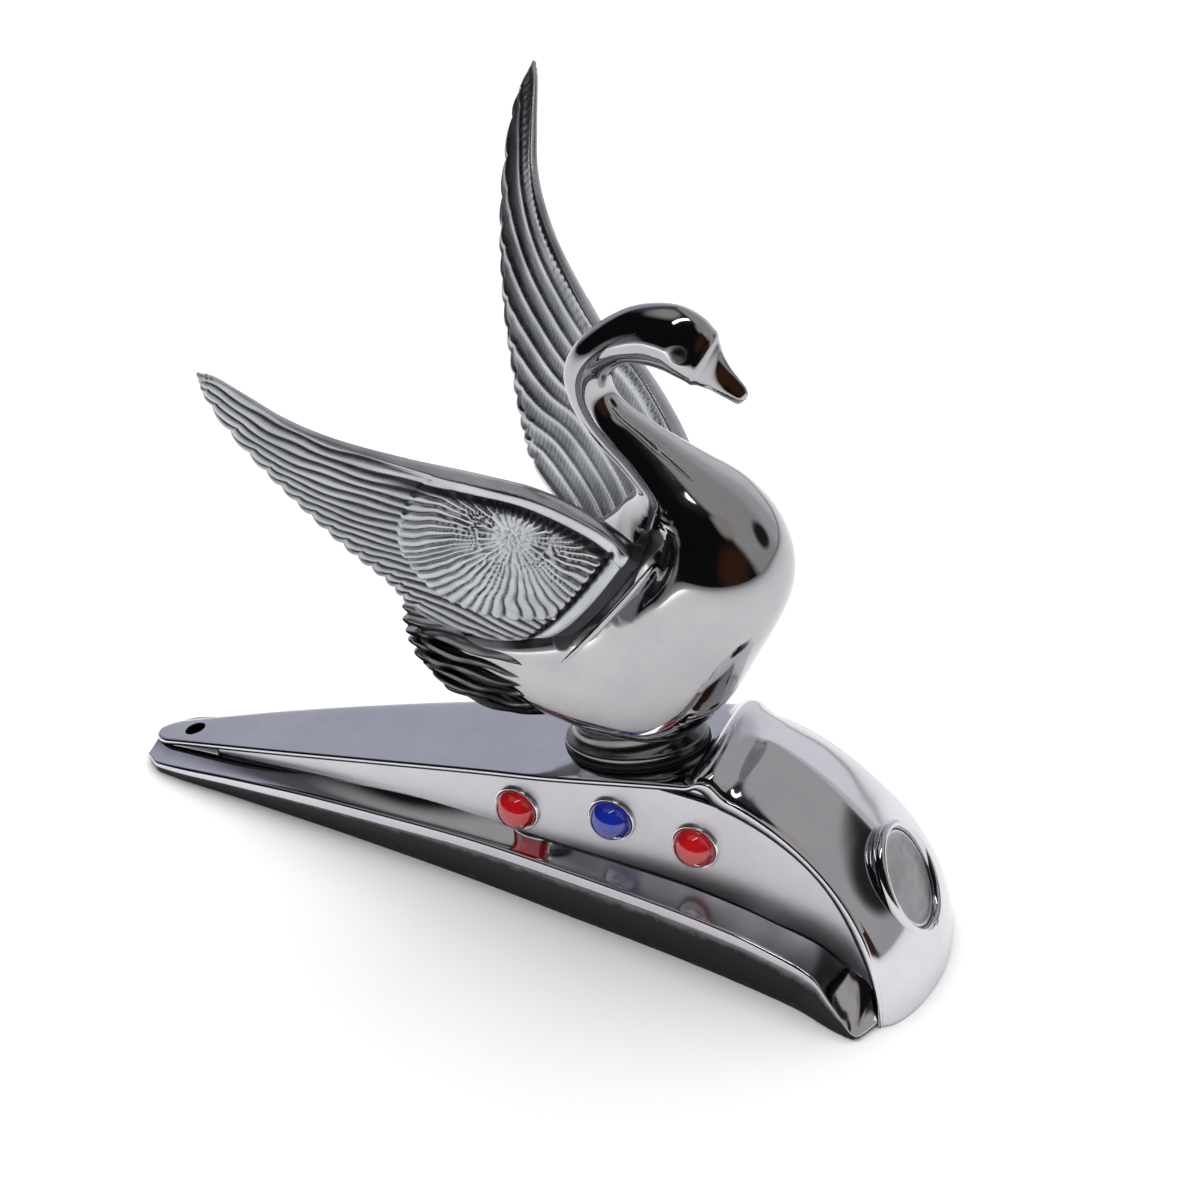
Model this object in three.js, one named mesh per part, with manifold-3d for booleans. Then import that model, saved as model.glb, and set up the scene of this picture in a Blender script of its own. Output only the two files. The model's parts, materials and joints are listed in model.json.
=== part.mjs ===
// Swan hood ornament on a wedge-shaped base, in millimetres.
// +X points to the nose and the beak, +Y to the ornament's left, +Z up.
// The origin is below the middle of the ornament, on the surface that it stands on.

import * as THREE from 'three';
import { LoftGeometry } from 'three/addons/geometries/LoftGeometry.js';
import { mergeVertices } from 'three/addons/utils/BufferGeometryUtils.js';
import Module from 'manifold-3d';

const wasm = await Module();
wasm.setup();

// ---------------------------------------------------------------- driving dimensions

const GAP = 0.3; // clearance between pieces that touch

// Base: the wedge runs from the tail to the hood, whose sections turn about a cross axis.
const TAIL_X = -130;
const PLATE_END_X = 60;
const TOE_X = 119;
const HOOD_AXIS_X = 60;
const BASE_BOTTOM = 1.5;
const LIP_HEIGHT = 2.2;
const POCKET_DEPTH = 2.6;
const WALL = 2.4;
const PANEL_THICKNESS = 1.1;
const PANEL_BACK_GAP = 0.45;
const PANEL_START_X = -104;
const PANEL_TIP_X = 115;
const PLATE_TAIL_HEIGHT = 6.8;
const PLATE_RISE = 81.6;
const PLATE_SAG = 13.9;
const PLATE_LENGTH = 245;

// [x, value] stations down the length of the base
const PLATE_HALF_WIDTH = [[-130, 5], [-85, 10.9], [-45, 15], [-8, 18], [15, 19.8], [57, 20.5],
  [85, 22.3], [100, 23.6], [112, 26.2], [120, 29]];
const SKIRT_HALF_WIDTH = [[-130, 8.5], [-124, 12.4], [-95, 14.2], [-55, 16.4], [-15, 19.4], [20, 23],
  [60, 27.2], [95, 32.3], [115, 36.8], [119, 29.5]];
const SHELF_INNER_Z = [[-130, 5.6], [-109, 10], [-75, 16.7], [-51, 20.9], [-28, 24], [0, 25.3],
  [55, 24.2], [75, 22.4], [86, 20.8], [98, 19], [106, 16], [114, 13], [119, 9]];
const SHELF_OUTER_Z = [[-130, 3.4], [-106, 6], [-74, 8.8], [-40, 12], [-8, 15], [25, 16.6], [75, 17.2],
  [90, 16.2], [98, 15.4], [102, 14.4], [106, 11], [110.5, 6.9], [114, 3], [119, 2.4]];
const LIP_REACH = [[-130, 0], [-100, 1.6], [-51, 2.8], [34, 3], [70, 2.2], [90, 1.2], [105, 0], [119, 0]];
const LIP_FACE = [[-130, 1.4], [-110, 2.8], [-60, 3.6], [60, 3.6], [88, 2.8], [102, 1.6], [110, 0.6],
  [119, 0.5]]; // height of the lip's upright face
const LIP_LIFT = 0.8; // rise of the lip for each millimetre that it reaches out
const LIP_DROP = 0.4; // lower corner of the lip below the shelf's outer line
const TAIL_ROUND_START_X = -124;
const FOOT_WALL = 2.8;
const SHELF_WALL = 2.5;
const SKIRT_TUCK = [[-130, 0], [-100, 0.4], [-51, 0.7], [0, 0.9], [60, 0.9], [88, 0.7], [105, 0.2], [119, 0]];

// [degrees from vertical, radius] stations round the hood
const HOOD_EDGE_RADIUS = [[-3, 61], [0, 63.4], [3, 63.8], [6, 61.8], [8, 60.9], [11, 60.7], [20, 60],
  [40, 59], [60, 59.6], [90, 60.3]];
const HOOD_CROWN = [[-3, 1], [0, 4], [3, 5.2], [6, 6], [8, 6.6], [13, 7.9], [22, 7.3], [32, 6.5],
  [42, 6], [52, 6.2], [62, 7.5], [72, 8.6], [84, 9.4], [90, 9.7]];
const HOOD_LIP_RADIUS = [[-3, 56.4], [50, 56.2], [62, 56.4], [72, 57.4], [82, 58.6], [90, 59.2]];
const LIP_MEAN_RADIUS = 57.4;
const HOOD_ANGLES = [-3, -1, 1, 3.5, 6, 8, 12, 20, 29, 38, 47, 56, 65, 74, 82, 90];

// Fastening points of the base
const TAIL_HOLE_X = -117;
const TAIL_HOLE_RADIUS = 3.2;
const BOSS_RADIUS = 4.6;
const BOSS_HOLE_RADIUS = 2.1;
const BOSS_HOLE_DEPTH = 14;
const BOSSES = [{ x: -58, bottom: 4, top: 27 }, { x: 99, bottom: 4, top: 46 }];

// Jewels on the side panels: [name, x, z, colour]
const RED = 0xb01018;
const BLUE = 0x10208a;
const JEWELS = [['rear', 3.9, 34, RED], ['middle', 34, 41, BLUE], ['front', 59.8, 40, RED]];
const JEWEL_RADIUS = 6.4;
const JEWEL_DOME = 5.8;
const BEZEL_RADIUS = 7.3;
const BEZEL_HEIGHT = 1.1;
const SHANK_RADIUS = 1.4;
const SHANK_HOLE_RADIUS = 1.8;
const SHANK_LENGTH = 8.5;
const PUSH_NUT_RADIUS = 3.4;
const PUSH_NUT_THICKNESS = 0.8;

// Medallion on the nose
const MEDALLION_ANGLE = 61;
const MEDALLION_FLOOR_RADIUS = 63.4;
const MEDALLION_HALF_LENGTH = 15.4;
const MEDALLION_HALF_WIDTH = 11.6;
const MEDALLION_THICKNESS = 1.4;
const MEDALLION_RIM = 2.6;
const MEDALLION_RIM_RADIUS = 66.4;

// Mounting bolt and pedestal, square to the sloping plate
const BOLT_X = 34;
const BOLT_RADIUS = 4;
const BOLT_HOLE_RADIUS = 4.4;
const BOLT_LENGTH = 50;
const BOLT_HEAD_RADIUS = 7.3;
const BOLT_HEAD_HEIGHT = 5;
const PAD_RADIUS = 12;
const PAD_DEPTH = 7;
const PEDESTAL_GASKET = 1;
const PEDESTAL_HALF_LENGTH = 22;
const PEDESTAL_HALF_WIDTH = 15;
const PEDESTAL_FLANGE = 2.6;
const PEDESTAL_TOP = 15;
const SPIGOT_TOP = 18;
const SPIGOT_RADIUS = 9;
const CORE_RADIUS = 9.4;
const CORE_TOP = 26;
const PEDESTAL_SCREW_OFFSET = 13;
const SCREW_RADIUS = 2;
const SCREW_HEAD_RADIUS = 3.6;
const SCREW_HEAD_HEIGHT = 2.2;
const SCREW_END = 19;
const WASHER_RADIUS = 9.5;
const WASHER_THICKNESS = 1.6;
const LOCK_WASHER_RADIUS = 6.8;
const NUT_RADIUS = 7.4;
const NUT_HEIGHT = 6.7;

// Swan trunk: x, middle height, half height, half width
const TRUNK = [[-27, 92, 4, 15], [-23, 90, 9, 20], [-13, 88, 14, 24], [0, 91, 20, 25.5],
  [15, 97, 31, 26], [30, 104, 41, 26], [45, 110, 46, 26], [57, 113.6, 40.2, 24], [66.4, 117, 32, 19],
  [74, 124, 18.5, 12.5], [77.2, 127.5, 8, 5.5]];
const TRUNK_EGG = 0.22; // how much narrower the trunk is at its top

// Tail feathers: rows of flat lenses one below the other
const TAIL_ROWS = 4;
const TAIL_FEATHER = { x: -11, z: 94.5, halfLength: 22, halfWidth: 26, halfThickness: 4.2, tilt: 0.03 };
const TAIL_STEP = { x: 3, z: -5.8, halfLength: -1.4, halfWidth: -1.2, tilt: 0.03 };

// Neck and head: x, z, radius
const NECK = [[52, 134, 15], [46.5, 143, 12], [38, 149.5, 8.4], [28.5, 155.5, 6.6], [21.5, 163, 6.1],
  [18.8, 171.5, 6.5], [20.5, 180.2, 6.8], [26, 186.8, 6.8], [34, 190, 7.4], [42, 189.8, 8.6],
  [48.5, 187.6, 8.4], [53, 184, 6], [57, 180.8, 4], [61.4, 177.8, 1.7]];

// Wing edges from the root to the tip: x, y, z on the ornament's left side
const WING_LEADING = [[40.5, 20.8, 138], [32.2, 26.5, 148], [19.5, 34, 157.6], [6.6, 39.8, 162.2],
  [-7.5, 51, 170.1], [-20.6, 63, 179.6], [-28.7, 72.9, 189.2], [-32.8, 81.8, 199.2], [-36.2, 90.6, 209],
  [-38.4, 94.4, 212.3]];
const WING_TRAILING = [[19, 24.5, 105.5], [3, 30.5, 103.5], [-14, 38, 112.5], [-21, 43, 124.5],
  [-27.5, 51, 138], [-34, 60, 154], [-39.5, 71, 173], [-42, 80.5, 189], [-42, 88, 202], [-39, 95, 212.3]];
const WING_ROOT_THICKNESS = 5.4;
const WING_TIP_THICKNESS = 1.8;
const WING_CAMBER = 3;
const WING_DOWELS = [['front', 0.34], ['rear', 0.72]]; // name, place across the root
const DOWEL_RADIUS = 1.25;
const DOWEL_HALF_LENGTH = 7;
const DOWEL_CLEARANCE = 0.15;

// ---------------------------------------------------------------- materials

const MATERIALS = {
  chrome: { color: 0xc9ccd2, roughness: 0.08, metalness: 1 },
  feather: { color: 0x9da0a6, roughness: 0.25, metalness: 1 },
  steel: { color: 0x9a9da1, roughness: 0.35, metalness: 1 },
  rubber: { color: 0x17181a, roughness: 0.8, metalness: 0 },
};

function material(name) {
  return new THREE.MeshStandardMaterial(MATERIALS[name]);
}

function jewelMaterial(color) {
  return new THREE.MeshStandardMaterial({ color, roughness: 0.05, metalness: 0 });
}

// ---------------------------------------------------------------- solids

/** Closed geometry as a solid that can be joined and cut. */
function solid(geometry) {
  const bare = new THREE.BufferGeometry().copy(geometry);
  bare.deleteAttribute('normal');
  bare.deleteAttribute('uv');
  const welded = mergeVertices(bare, 1e-4);
  return new wasm.Manifold(new wasm.Mesh({
    numProp: 3,
    vertProperties: new Float32Array(welded.attributes.position.array),
    triVerts: new Uint32Array(welded.index.array),
  }));
}

function geometryOf(shape) {
  const mesh = shape.getMesh();
  const geometry = new THREE.BufferGeometry();
  geometry.setAttribute('position', new THREE.Float32BufferAttribute(mesh.vertProperties, 3));
  geometry.setIndex(new THREE.Uint32BufferAttribute(mesh.triVerts, 1));
  geometry.computeVertexNormals();
  return geometry;
}

function joined(...shapes) {
  return shapes.reduce((whole, shape) => whole.add(shape));
}

/** Smooth function through [position, value] stations. */
function smooth(stations) {
  const last = stations.length - 1;
  const slope = (k) => {
    const before = stations[Math.max(k - 1, 0)];
    const after = stations[Math.min(k + 1, last)];
    return (after[1] - before[1]) / (after[0] - before[0]);
  };
  return (at) => {
    const place = THREE.MathUtils.clamp(at, stations[0][0], stations[last][0]);
    const k = Math.min(stations.filter(([position]) => position <= place).length, last) - 1;
    const span = stations[k + 1][0] - stations[k][0];
    const t = (place - stations[k][0]) / span;
    const rise = stations[k + 1][1] - stations[k][1];
    const bend = (1 - t) * (slope(k) * span - rise) - t * (slope(k + 1) * span - rise);
    return stations[k][1] + rise * t + t * (1 - t) * bend;
  };
}

function range(start, end, steps) {
  return Array.from({ length: steps + 1 }, (_, i) => start + (end - start) * i / steps);
}

function loft(sections) {
  return solid(new LoftGeometry(sections, { capStart: true, capEnd: true }));
}

/** Solid through cross sections square to X; outline(x) gives the half outline as [y, z], bottom up. */
function loftAlongX(stations, outline) {
  return loft(stations.map((x) => {
    const half = outline(x);
    const other = half.map(([y, z]) => [-y, z]).reverse();
    return [...half, ...other].map(([y, z]) => new THREE.Vector3(x, y, z));
  }));
}

/** Cylinder from one point to another. */
function rod(radius, start, end, sides = 20) {
  const axis = new THREE.Vector3().subVectors(end, start);
  const geometry = new THREE.CylinderGeometry(radius, radius, axis.length(), sides);
  const turn = new THREE.Quaternion().setFromUnitVectors(new THREE.Vector3(0, 1, 0), axis.normalize());
  geometry.applyQuaternion(turn);
  const middle = new THREE.Vector3().addVectors(start, end).multiplyScalar(0.5);
  geometry.translate(middle.x, middle.y, middle.z);
  return solid(geometry);
}

function ringGeometry(inner, outer, bottom, top, segments = 20) {
  const outline = [[inner, bottom], [outer, bottom], [outer, top], [inner, top], [inner, bottom]];
  const geometry = new THREE.LatheGeometry(outline.map(([r, z]) => new THREE.Vector2(r, z)), segments);
  return geometry.rotateX(Math.PI / 2);
}

// ---------------------------------------------------------------- base outline

const halfWidth = smooth(PLATE_HALF_WIDTH);
const skirtHalfWidth = smooth(SKIRT_HALF_WIDTH);
const shelfInner = smooth(SHELF_INNER_Z);
const shelfOuter = smooth(SHELF_OUTER_Z);
const lipReach = smooth(LIP_REACH);
const lipFace = smooth(LIP_FACE);
const skirtTuck = smooth(SKIRT_TUCK);
const hoodEdge = smooth(HOOD_EDGE_RADIUS);
const hoodCrown = smooth(HOOD_CROWN);
const hoodLip = smooth(HOOD_LIP_RADIUS);

/** Height of the sloping top plate. */
function plateHeight(x) {
  const t = (x - TAIL_X) / PLATE_LENGTH;
  return PLATE_TAIL_HEIGHT + PLATE_RISE * t - PLATE_SAG * t * t;
}

/** Half width of the skirt at its foot, tucked in below the lip. */
function footHalfWidth(x) {
  return skirtHalfWidth(x) - skirtTuck(x);
}

/** Height of the lip's lower corner. */
function lipBottom(x) {
  return shelfOuter(x) + LIP_LIFT * lipReach(x) - LIP_DROP;
}

/** Half width of the wall that backs the side panels. */
function wallHalfWidth(x) {
  return halfWidth(x) - POCKET_DEPTH;
}

/** Point of the hood at an angle from vertical, a radius from the hood's axis and a distance aside. */
function hoodPoint(degrees, radius, y) {
  const angle = THREE.MathUtils.degToRad(degrees);
  return new THREE.Vector3(HOOD_AXIS_X + radius * Math.sin(angle), y, radius * Math.cos(angle));
}

/** Solid whose sections turn about the hood's axis; outline(degrees) gives [y, radius], bottom up. */
function loftRoundHood(angles, outline) {
  return loft(angles.map((degrees) => {
    const half = outline(degrees);
    const other = half.map(([y, radius]) => [-y, radius]).reverse();
    return [...half, ...other].map(([y, radius]) => hoodPoint(degrees, radius, y));
  }));
}

/** Half of an arch from its springing at [width, radius] up to just beside the middle. */
function arch(width, radius, crown, steps = 4) {
  return range(0, 1, steps).slice(0, -1).map((t) => {
    const angle = t * Math.PI / 2;
    return [width * Math.cos(angle), radius + crown * Math.sin(angle)];
  }).concat([[width * 0.06, radius + crown]]);
}

/** Straight wall outline up the hood's side, whose width follows the plate's outline. */
function hoodWall(degrees, top, inset) {
  return [1, top * 0.35, top * 0.6, top * 0.8, top].map((radius) => {
    const { x } = hoodPoint(degrees, radius, 0);
    return [halfWidth(x) - inset, radius];
  });
}

// ---------------------------------------------------------------- base shell

function baseOutside() {
  const stations = [-130, -128, -124, -112, -95, -75, -51, -28, -8, 20, 40, 60];
  const skirtStations = [...stations, 75, 90, 98, 103, 108, 112, 115, TOE_X];
  const tailRound = (x) => Math.sqrt(1 - 0.8 * Math.max(0, (TAIL_ROUND_START_X - x) / 6.2) ** 2);
  const wedge = loftAlongX(stations, (x) => {
    const width = halfWidth(x) * tailRound(x);
    const wall = Math.max(width - POCKET_DEPTH, 1);
    const top = plateHeight(x);
    return [[wall, 0.5], [wall, top - LIP_HEIGHT], [width, top - LIP_HEIGHT], [width, top]];
  });
  const skirt = loftAlongX(skirtStations, (x) => {
    const foot = [footHalfWidth(x) - LIP_DROP, 0.5];
    const width = skirtHalfWidth(x) + lipReach(x);
    const bottom = lipBottom(x);
    const shelf = [wallHalfWidth(x) * tailRound(x) + 1.7, shelfInner(x)];
    return [foot, [width, bottom], [width, bottom + lipFace(x)], shelf];
  });
  const hood = loftRoundHood(HOOD_ANGLES, (degrees) => {
    const lip = hoodLip(degrees);
    const edge = hoodEdge(degrees);
    const width = halfWidth(hoodPoint(degrees, edge, 0).x);
    return [...hoodWall(degrees, lip, POCKET_DEPTH), [width, lip], ...arch(width, edge, hoodCrown(degrees))];
  });
  return joined(wedge, skirt, hood);
}

function baseCavity() {
  const inset = POCKET_DEPTH + WALL;
  const wedge = loftAlongX([-96, -75, -51, -28, 0, 30, 61], (x) => {
    const outer = footHalfWidth(x) - FOOT_WALL;
    const inner = halfWidth(x) - inset;
    return [[outer, -1], [outer, shelfOuter(x) - FOOT_WALL - 0.8], [inner, shelfInner(x) - SHELF_WALL],
      [inner, plateHeight(x) - WALL - 1]];
  });
  const flange = loftAlongX([59, 75, 90, 102], (x) => {
    const outer = footHalfWidth(x) - FOOT_WALL;
    const inner = halfWidth(x) - inset;
    return [[outer, -1], [outer, shelfOuter(x) - FOOT_WALL - 0.8], [inner, shelfInner(x) - SHELF_WALL]];
  });
  const hood = loftRoundHood([-1, 12, 24, 36, 48, 60, 72, 84, 93], (degrees) => {
    const crown = hoodCrown(Math.max(degrees, 10)) * 0.85;
    const top = Math.min(hoodEdge(Math.max(degrees, 10)) - 4.6, hoodLip(degrees) - 1.5);
    const wall = hoodWall(degrees, top, inset);
    const { x } = hoodPoint(degrees, top, 0);
    return [...wall.slice(0, -1), ...arch(halfWidth(x) - inset, top, crown)];
  });
  return joined(wedge, flange, hood);
}

// ---------------------------------------------------------------- places on the base

/** Nested frame at the bolt: its Z is square to the plate. */
const plateSlope = (plateHeight(BOLT_X + 1) - plateHeight(BOLT_X - 1)) / 2;
const boltTilt = -Math.atan(plateSlope);
const boltFoot = new THREE.Vector3(BOLT_X, 0, plateHeight(BOLT_X));
const boltMatrix = new THREE.Matrix4().makeRotationY(boltTilt).setPosition(boltFoot);

function boltPoint(x, y, z) {
  return new THREE.Vector3(x, y, z).applyMatrix4(boltMatrix);
}

/** Nested frame at the medallion: its Z points out of the nose. */
const medallionMatrix = new THREE.Matrix4()
  .makeRotationY(THREE.MathUtils.degToRad(MEDALLION_ANGLE))
  .setPosition(hoodPoint(MEDALLION_ANGLE, MEDALLION_FLOOR_RADIUS, 0));

/** Nested frame on a side panel: its Z points out of the panel. Side is -1 on the right. */
function jewelMatrix(side, x, z) {
  const taper = Math.atan(halfWidth(x + 1) - halfWidth(x)) * side;
  const y = side * (wallHalfWidth(x) + PANEL_BACK_GAP + PANEL_THICKNESS);
  const turn = new THREE.Matrix4().makeRotationZ(taper);
  turn.multiply(new THREE.Matrix4().makeRotationX(-side * Math.PI / 2));
  return turn.setPosition(x, y, z);
}

function placed(geometry, matrix) {
  return geometry.applyMatrix4(matrix);
}

/** Upright oval prism. */
function oval(halfLength, halfWidthAcross, bottom, top, segments = 28) {
  const geometry = new THREE.CylinderGeometry(1, 1, top - bottom, segments);
  geometry.rotateX(Math.PI / 2);
  geometry.scale(halfLength, halfWidthAcross, 1);
  geometry.translate(0, 0, (top + bottom) / 2);
  return geometry;
}

function baseShell() {
  const rimHeight = MEDALLION_RIM_RADIUS - MEDALLION_FLOOR_RADIUS;
  const rim = solid(placed(oval(MEDALLION_HALF_LENGTH + MEDALLION_RIM, MEDALLION_HALF_WIDTH + MEDALLION_RIM,
    -2, rimHeight), medallionMatrix));
  const pocket = solid(placed(oval(MEDALLION_HALF_LENGTH, MEDALLION_HALF_WIDTH, 0, 10), medallionMatrix));
  const pad = rod(PAD_RADIUS, boltPoint(0, 0, -PAD_DEPTH), boltPoint(0, 0, -1));
  let shell = joined(baseOutside(), rim).subtract(pocket).subtract(baseCavity()).add(pad);
  for (const boss of BOSSES) {
    const foot = new THREE.Vector3(boss.x, 0, boss.bottom);
    shell = shell.add(rod(BOSS_RADIUS, foot, new THREE.Vector3(boss.x, 0, boss.top)));
    const below = new THREE.Vector3(boss.x, 0, boss.bottom - 1);
    const end = new THREE.Vector3(boss.x, 0, boss.bottom + BOSS_HOLE_DEPTH);
    shell = shell.subtract(rod(BOSS_HOLE_RADIUS, below, end, 16));
  }
  shell = shell.subtract(rod(TAIL_HOLE_RADIUS, new THREE.Vector3(TAIL_HOLE_X, 0, -1),
    new THREE.Vector3(TAIL_HOLE_X, 0, 20)));
  shell = shell.subtract(rod(BOLT_HOLE_RADIUS, boltPoint(0, 0, -20), boltPoint(0, 0, 10)));
  shell = shell.subtract(shankHoles());
  const medallionShank = new THREE.Vector3(0, 0, -20).applyMatrix4(medallionMatrix);
  const medallionFront = new THREE.Vector3(0, 0, 5).applyMatrix4(medallionMatrix);
  shell = shell.subtract(rod(SHANK_HOLE_RADIUS, medallionShank, medallionFront, 16));
  const under = new THREE.BoxGeometry(400, 200, 20).translate(0, 0, BASE_BOTTOM - 10);
  return shell.subtract(solid(under));
}

/** Shank holes of all jewels, straight through both walls. */
function shankHoles() {
  return joined(...JEWELS.flatMap(([, x, z]) => [1, -1].map((side) => {
    const matrix = jewelMatrix(side, x, z);
    const start = new THREE.Vector3(0, 0, -12).applyMatrix4(matrix);
    const end = new THREE.Vector3(0, 0, 6).applyMatrix4(matrix);
    return rod(SHANK_HOLE_RADIUS, start, end, 16);
  })));
}

/** Flat rubber ring under the skirt and the nose. */
function baseGasket() {
  const outside = baseOutline(0.5);
  const inside = baseOutline(3.4).filter(([x]) => x > -98);
  const ring = new THREE.Shape(outside.map(([x, y]) => new THREE.Vector2(x, y)));
  ring.holes.push(new THREE.Path(inside.map(([x, y]) => new THREE.Vector2(x, y))));
  const hole = new THREE.Path().absarc(TAIL_HOLE_X, 0, TAIL_HOLE_RADIUS, 0, Math.PI * 2);
  ring.holes.push(new THREE.Path(hole.getPoints(10).slice(0, -1)));
  return new THREE.ExtrudeGeometry(ring, { depth: BASE_BOTTOM - GAP, bevelEnabled: false });
}

/** Plan outline of the base's foot, moved inwards. */
function baseOutline(inset) {
  const sideStations = [-129, -126, -115, -97, -55, -15, 20, 60, 95, 109, 114.5];
  const right = sideStations.map((x) => {
    const narrowing = x < TAIL_ROUND_START_X ? 0.86 : 1;
    return [x, inset - footHalfWidth(x) * narrowing];
  });
  const noseAngles = [75, 60, 45, 30, 15, 0];
  const nose = noseAngles.map((degrees) => {
    const angle = THREE.MathUtils.degToRad(degrees);
    return [HOOD_AXIS_X + 60.3 + 9.2 * Math.cos(angle) - inset, -(28.6 - inset) * Math.sin(angle)];
  });
  const half = [...right, ...nose];
  const other = half.slice(0, -1).reverse().map(([x, y]) => [x, -y]);
  return [...half, ...other];
}

// ---------------------------------------------------------------- panels, jewels and medallion

function sidePanel(side) {
  const stations = [PANEL_START_X, -90, -75, -51, -28, -8, 20, 40, 46, 60, 68, 75, 83, 90, 98, 103, 108, 112,
    PANEL_TIP_X];
  const panel = loft(stations.map((x) => {
    const angle = THREE.MathUtils.radToDeg(Math.asin(Math.max(x - HOOD_AXIS_X, 0) / LIP_MEAN_RADIUS));
    const reach = hoodLip(angle) - GAP;
    const underHood = Math.sqrt(reach ** 2 - Math.max(x - HOOD_AXIS_X, 0) ** 2);
    const bottom = shelfInner(x) + GAP;
    const roof = Math.min(underHood, plateHeight(x) - LIP_HEIGHT - GAP);
    const top = Math.max(roof, bottom + 0.4);
    const near = wallHalfWidth(x) + PANEL_BACK_GAP;
    const far = near + PANEL_THICKNESS;
    const corners = [[far, bottom], [far, top], [near, top], [near, bottom]];
    const points = corners.map(([y, z]) => new THREE.Vector3(x, side * y, z));
    return side > 0 ? points : points.reverse();
  }));
  return panel.subtract(shankHoles());
}

/** Glass dome on a straight shank. */
function jewelGeometry() {
  const dome = range(0, 1, 4).map((t) => {
    const angle = t * Math.PI / 2;
    return [JEWEL_RADIUS * Math.cos(angle), BEZEL_HEIGHT * 0.4 + JEWEL_DOME * Math.sin(angle)];
  });
  const outline = [[0, -SHANK_LENGTH], [SHANK_RADIUS, -SHANK_LENGTH], [SHANK_RADIUS, GAP],
    [JEWEL_RADIUS, GAP], ...dome.slice(0, -1), [0, dome[dome.length - 1][1]]];
  const points = outline.map(([r, z]) => new THREE.Vector2(r, z));
  return new THREE.LatheGeometry(points, 14).rotateX(Math.PI / 2);
}

function bezelGeometry() {
  return ringGeometry(JEWEL_RADIUS + GAP, BEZEL_RADIUS, GAP, BEZEL_HEIGHT, 14);
}

function pushNutGeometry(top) {
  return ringGeometry(SHANK_RADIUS + 0.15, PUSH_NUT_RADIUS, top - PUSH_NUT_THICKNESS, top, 10);
}

function medallion() {
  const plate = solid(oval(MEDALLION_HALF_LENGTH - GAP, MEDALLION_HALF_WIDTH - GAP, GAP,
    GAP + MEDALLION_THICKNESS));
  const shank = rod(SHANK_RADIUS, new THREE.Vector3(0, 0, -9), new THREE.Vector3(0, 0, 1), 16);
  return geometryOf(plate.add(shank));
}

// ---------------------------------------------------------------- swan

/** Swan's trunk, grown outwards by a margin. */
function trunk(margin) {
  const [middle, high, wide] = [1, 2, 3].map((k) => smooth(TRUNK.map((row) => [row[0], row[k]])));
  const stations = [-27, -24, -18, -8, 6, 20, 34, 47, 57, 65, 71, 75, 77.4];
  const grown = stations.map((x, i) => {
    const shift = i === 0 ? -margin : 0;
    return x + (i === stations.length - 1 ? margin : shift);
  });
  return loft(grown.map((x) => range(0, 1, 18).slice(0, -1).map((t) => {
    const angle = t * Math.PI * 2;
    const egg = 1 - TRUNK_EGG * Math.sin(angle);
    const y = (wide(x) + margin) * Math.cos(angle) * egg;
    return new THREE.Vector3(x, y, middle(x) + (high(x) + margin) * Math.sin(angle));
  })));
}

/** Rows of tail feathers, each a flat lens, the lower ones shorter. */
function tailFeathers() {
  const rows = range(0, TAIL_ROWS - 1, TAIL_ROWS - 1).map((row) => {
    const at = (key) => TAIL_FEATHER[key] + row * TAIL_STEP[key];
    const geometry = new THREE.SphereGeometry(1, 16, 6);
    geometry.scale(at('halfLength'), at('halfWidth'), TAIL_FEATHER.halfThickness);
    geometry.rotateY(at('tilt'));
    geometry.translate(at('x'), 0, at('z'));
    return solid(geometry);
  });
  return joined(...rows);
}

/** Neck, head and beak as one tube with a changing radius. */
function neckAndHead() {
  const path = new THREE.CatmullRomCurve3(NECK.map(([x, z]) => new THREE.Vector3(x, 0, z)));
  const radius = smooth(NECK.map((row, i) => [i / (NECK.length - 1), row[2]]));
  const across = new THREE.Vector3(0, 1, 0);
  return loft(range(0, 1, 32).map((t) => {
    const centre = path.getPoint(t);
    const normal = new THREE.Vector3().crossVectors(path.getTangent(t), across);
    return range(0, 1, 10).slice(0, -1).map((turn) => {
      const angle = turn * Math.PI * 2;
      const narrow = t > 0.7 ? 0.8 : 1;
      return centre.clone()
        .addScaledVector(across, radius(t) * narrow * Math.cos(angle))
        .addScaledVector(normal, radius(t) * Math.sin(angle));
    });
  }));
}

function swanBody() {
  const core = rod(CORE_RADIUS, boltPoint(0, 0, 0), boltPoint(0, 0, CORE_TOP));
  const screws = joined(...[1, -1].map((end) => rod(SCREW_RADIUS + GAP,
    boltPoint(end * PEDESTAL_SCREW_OFFSET, 0, 0), boltPoint(end * PEDESTAL_SCREW_OFFSET, 0, 22), 16)));
  let body = joined(trunk(0), tailFeathers(), neckAndHead()).subtract(core).subtract(screws);
  for (const side of [1, -1]) {
    body = body.subtract(dowelHoles(side));
  }
  return geometryOf(body);
}

const wingLeading = new THREE.CatmullRomCurve3(WING_LEADING.map((point) => new THREE.Vector3(...point)));
const wingTrailing = new THREE.CatmullRomCurve3(WING_TRAILING.map((point) => new THREE.Vector3(...point)));

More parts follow.
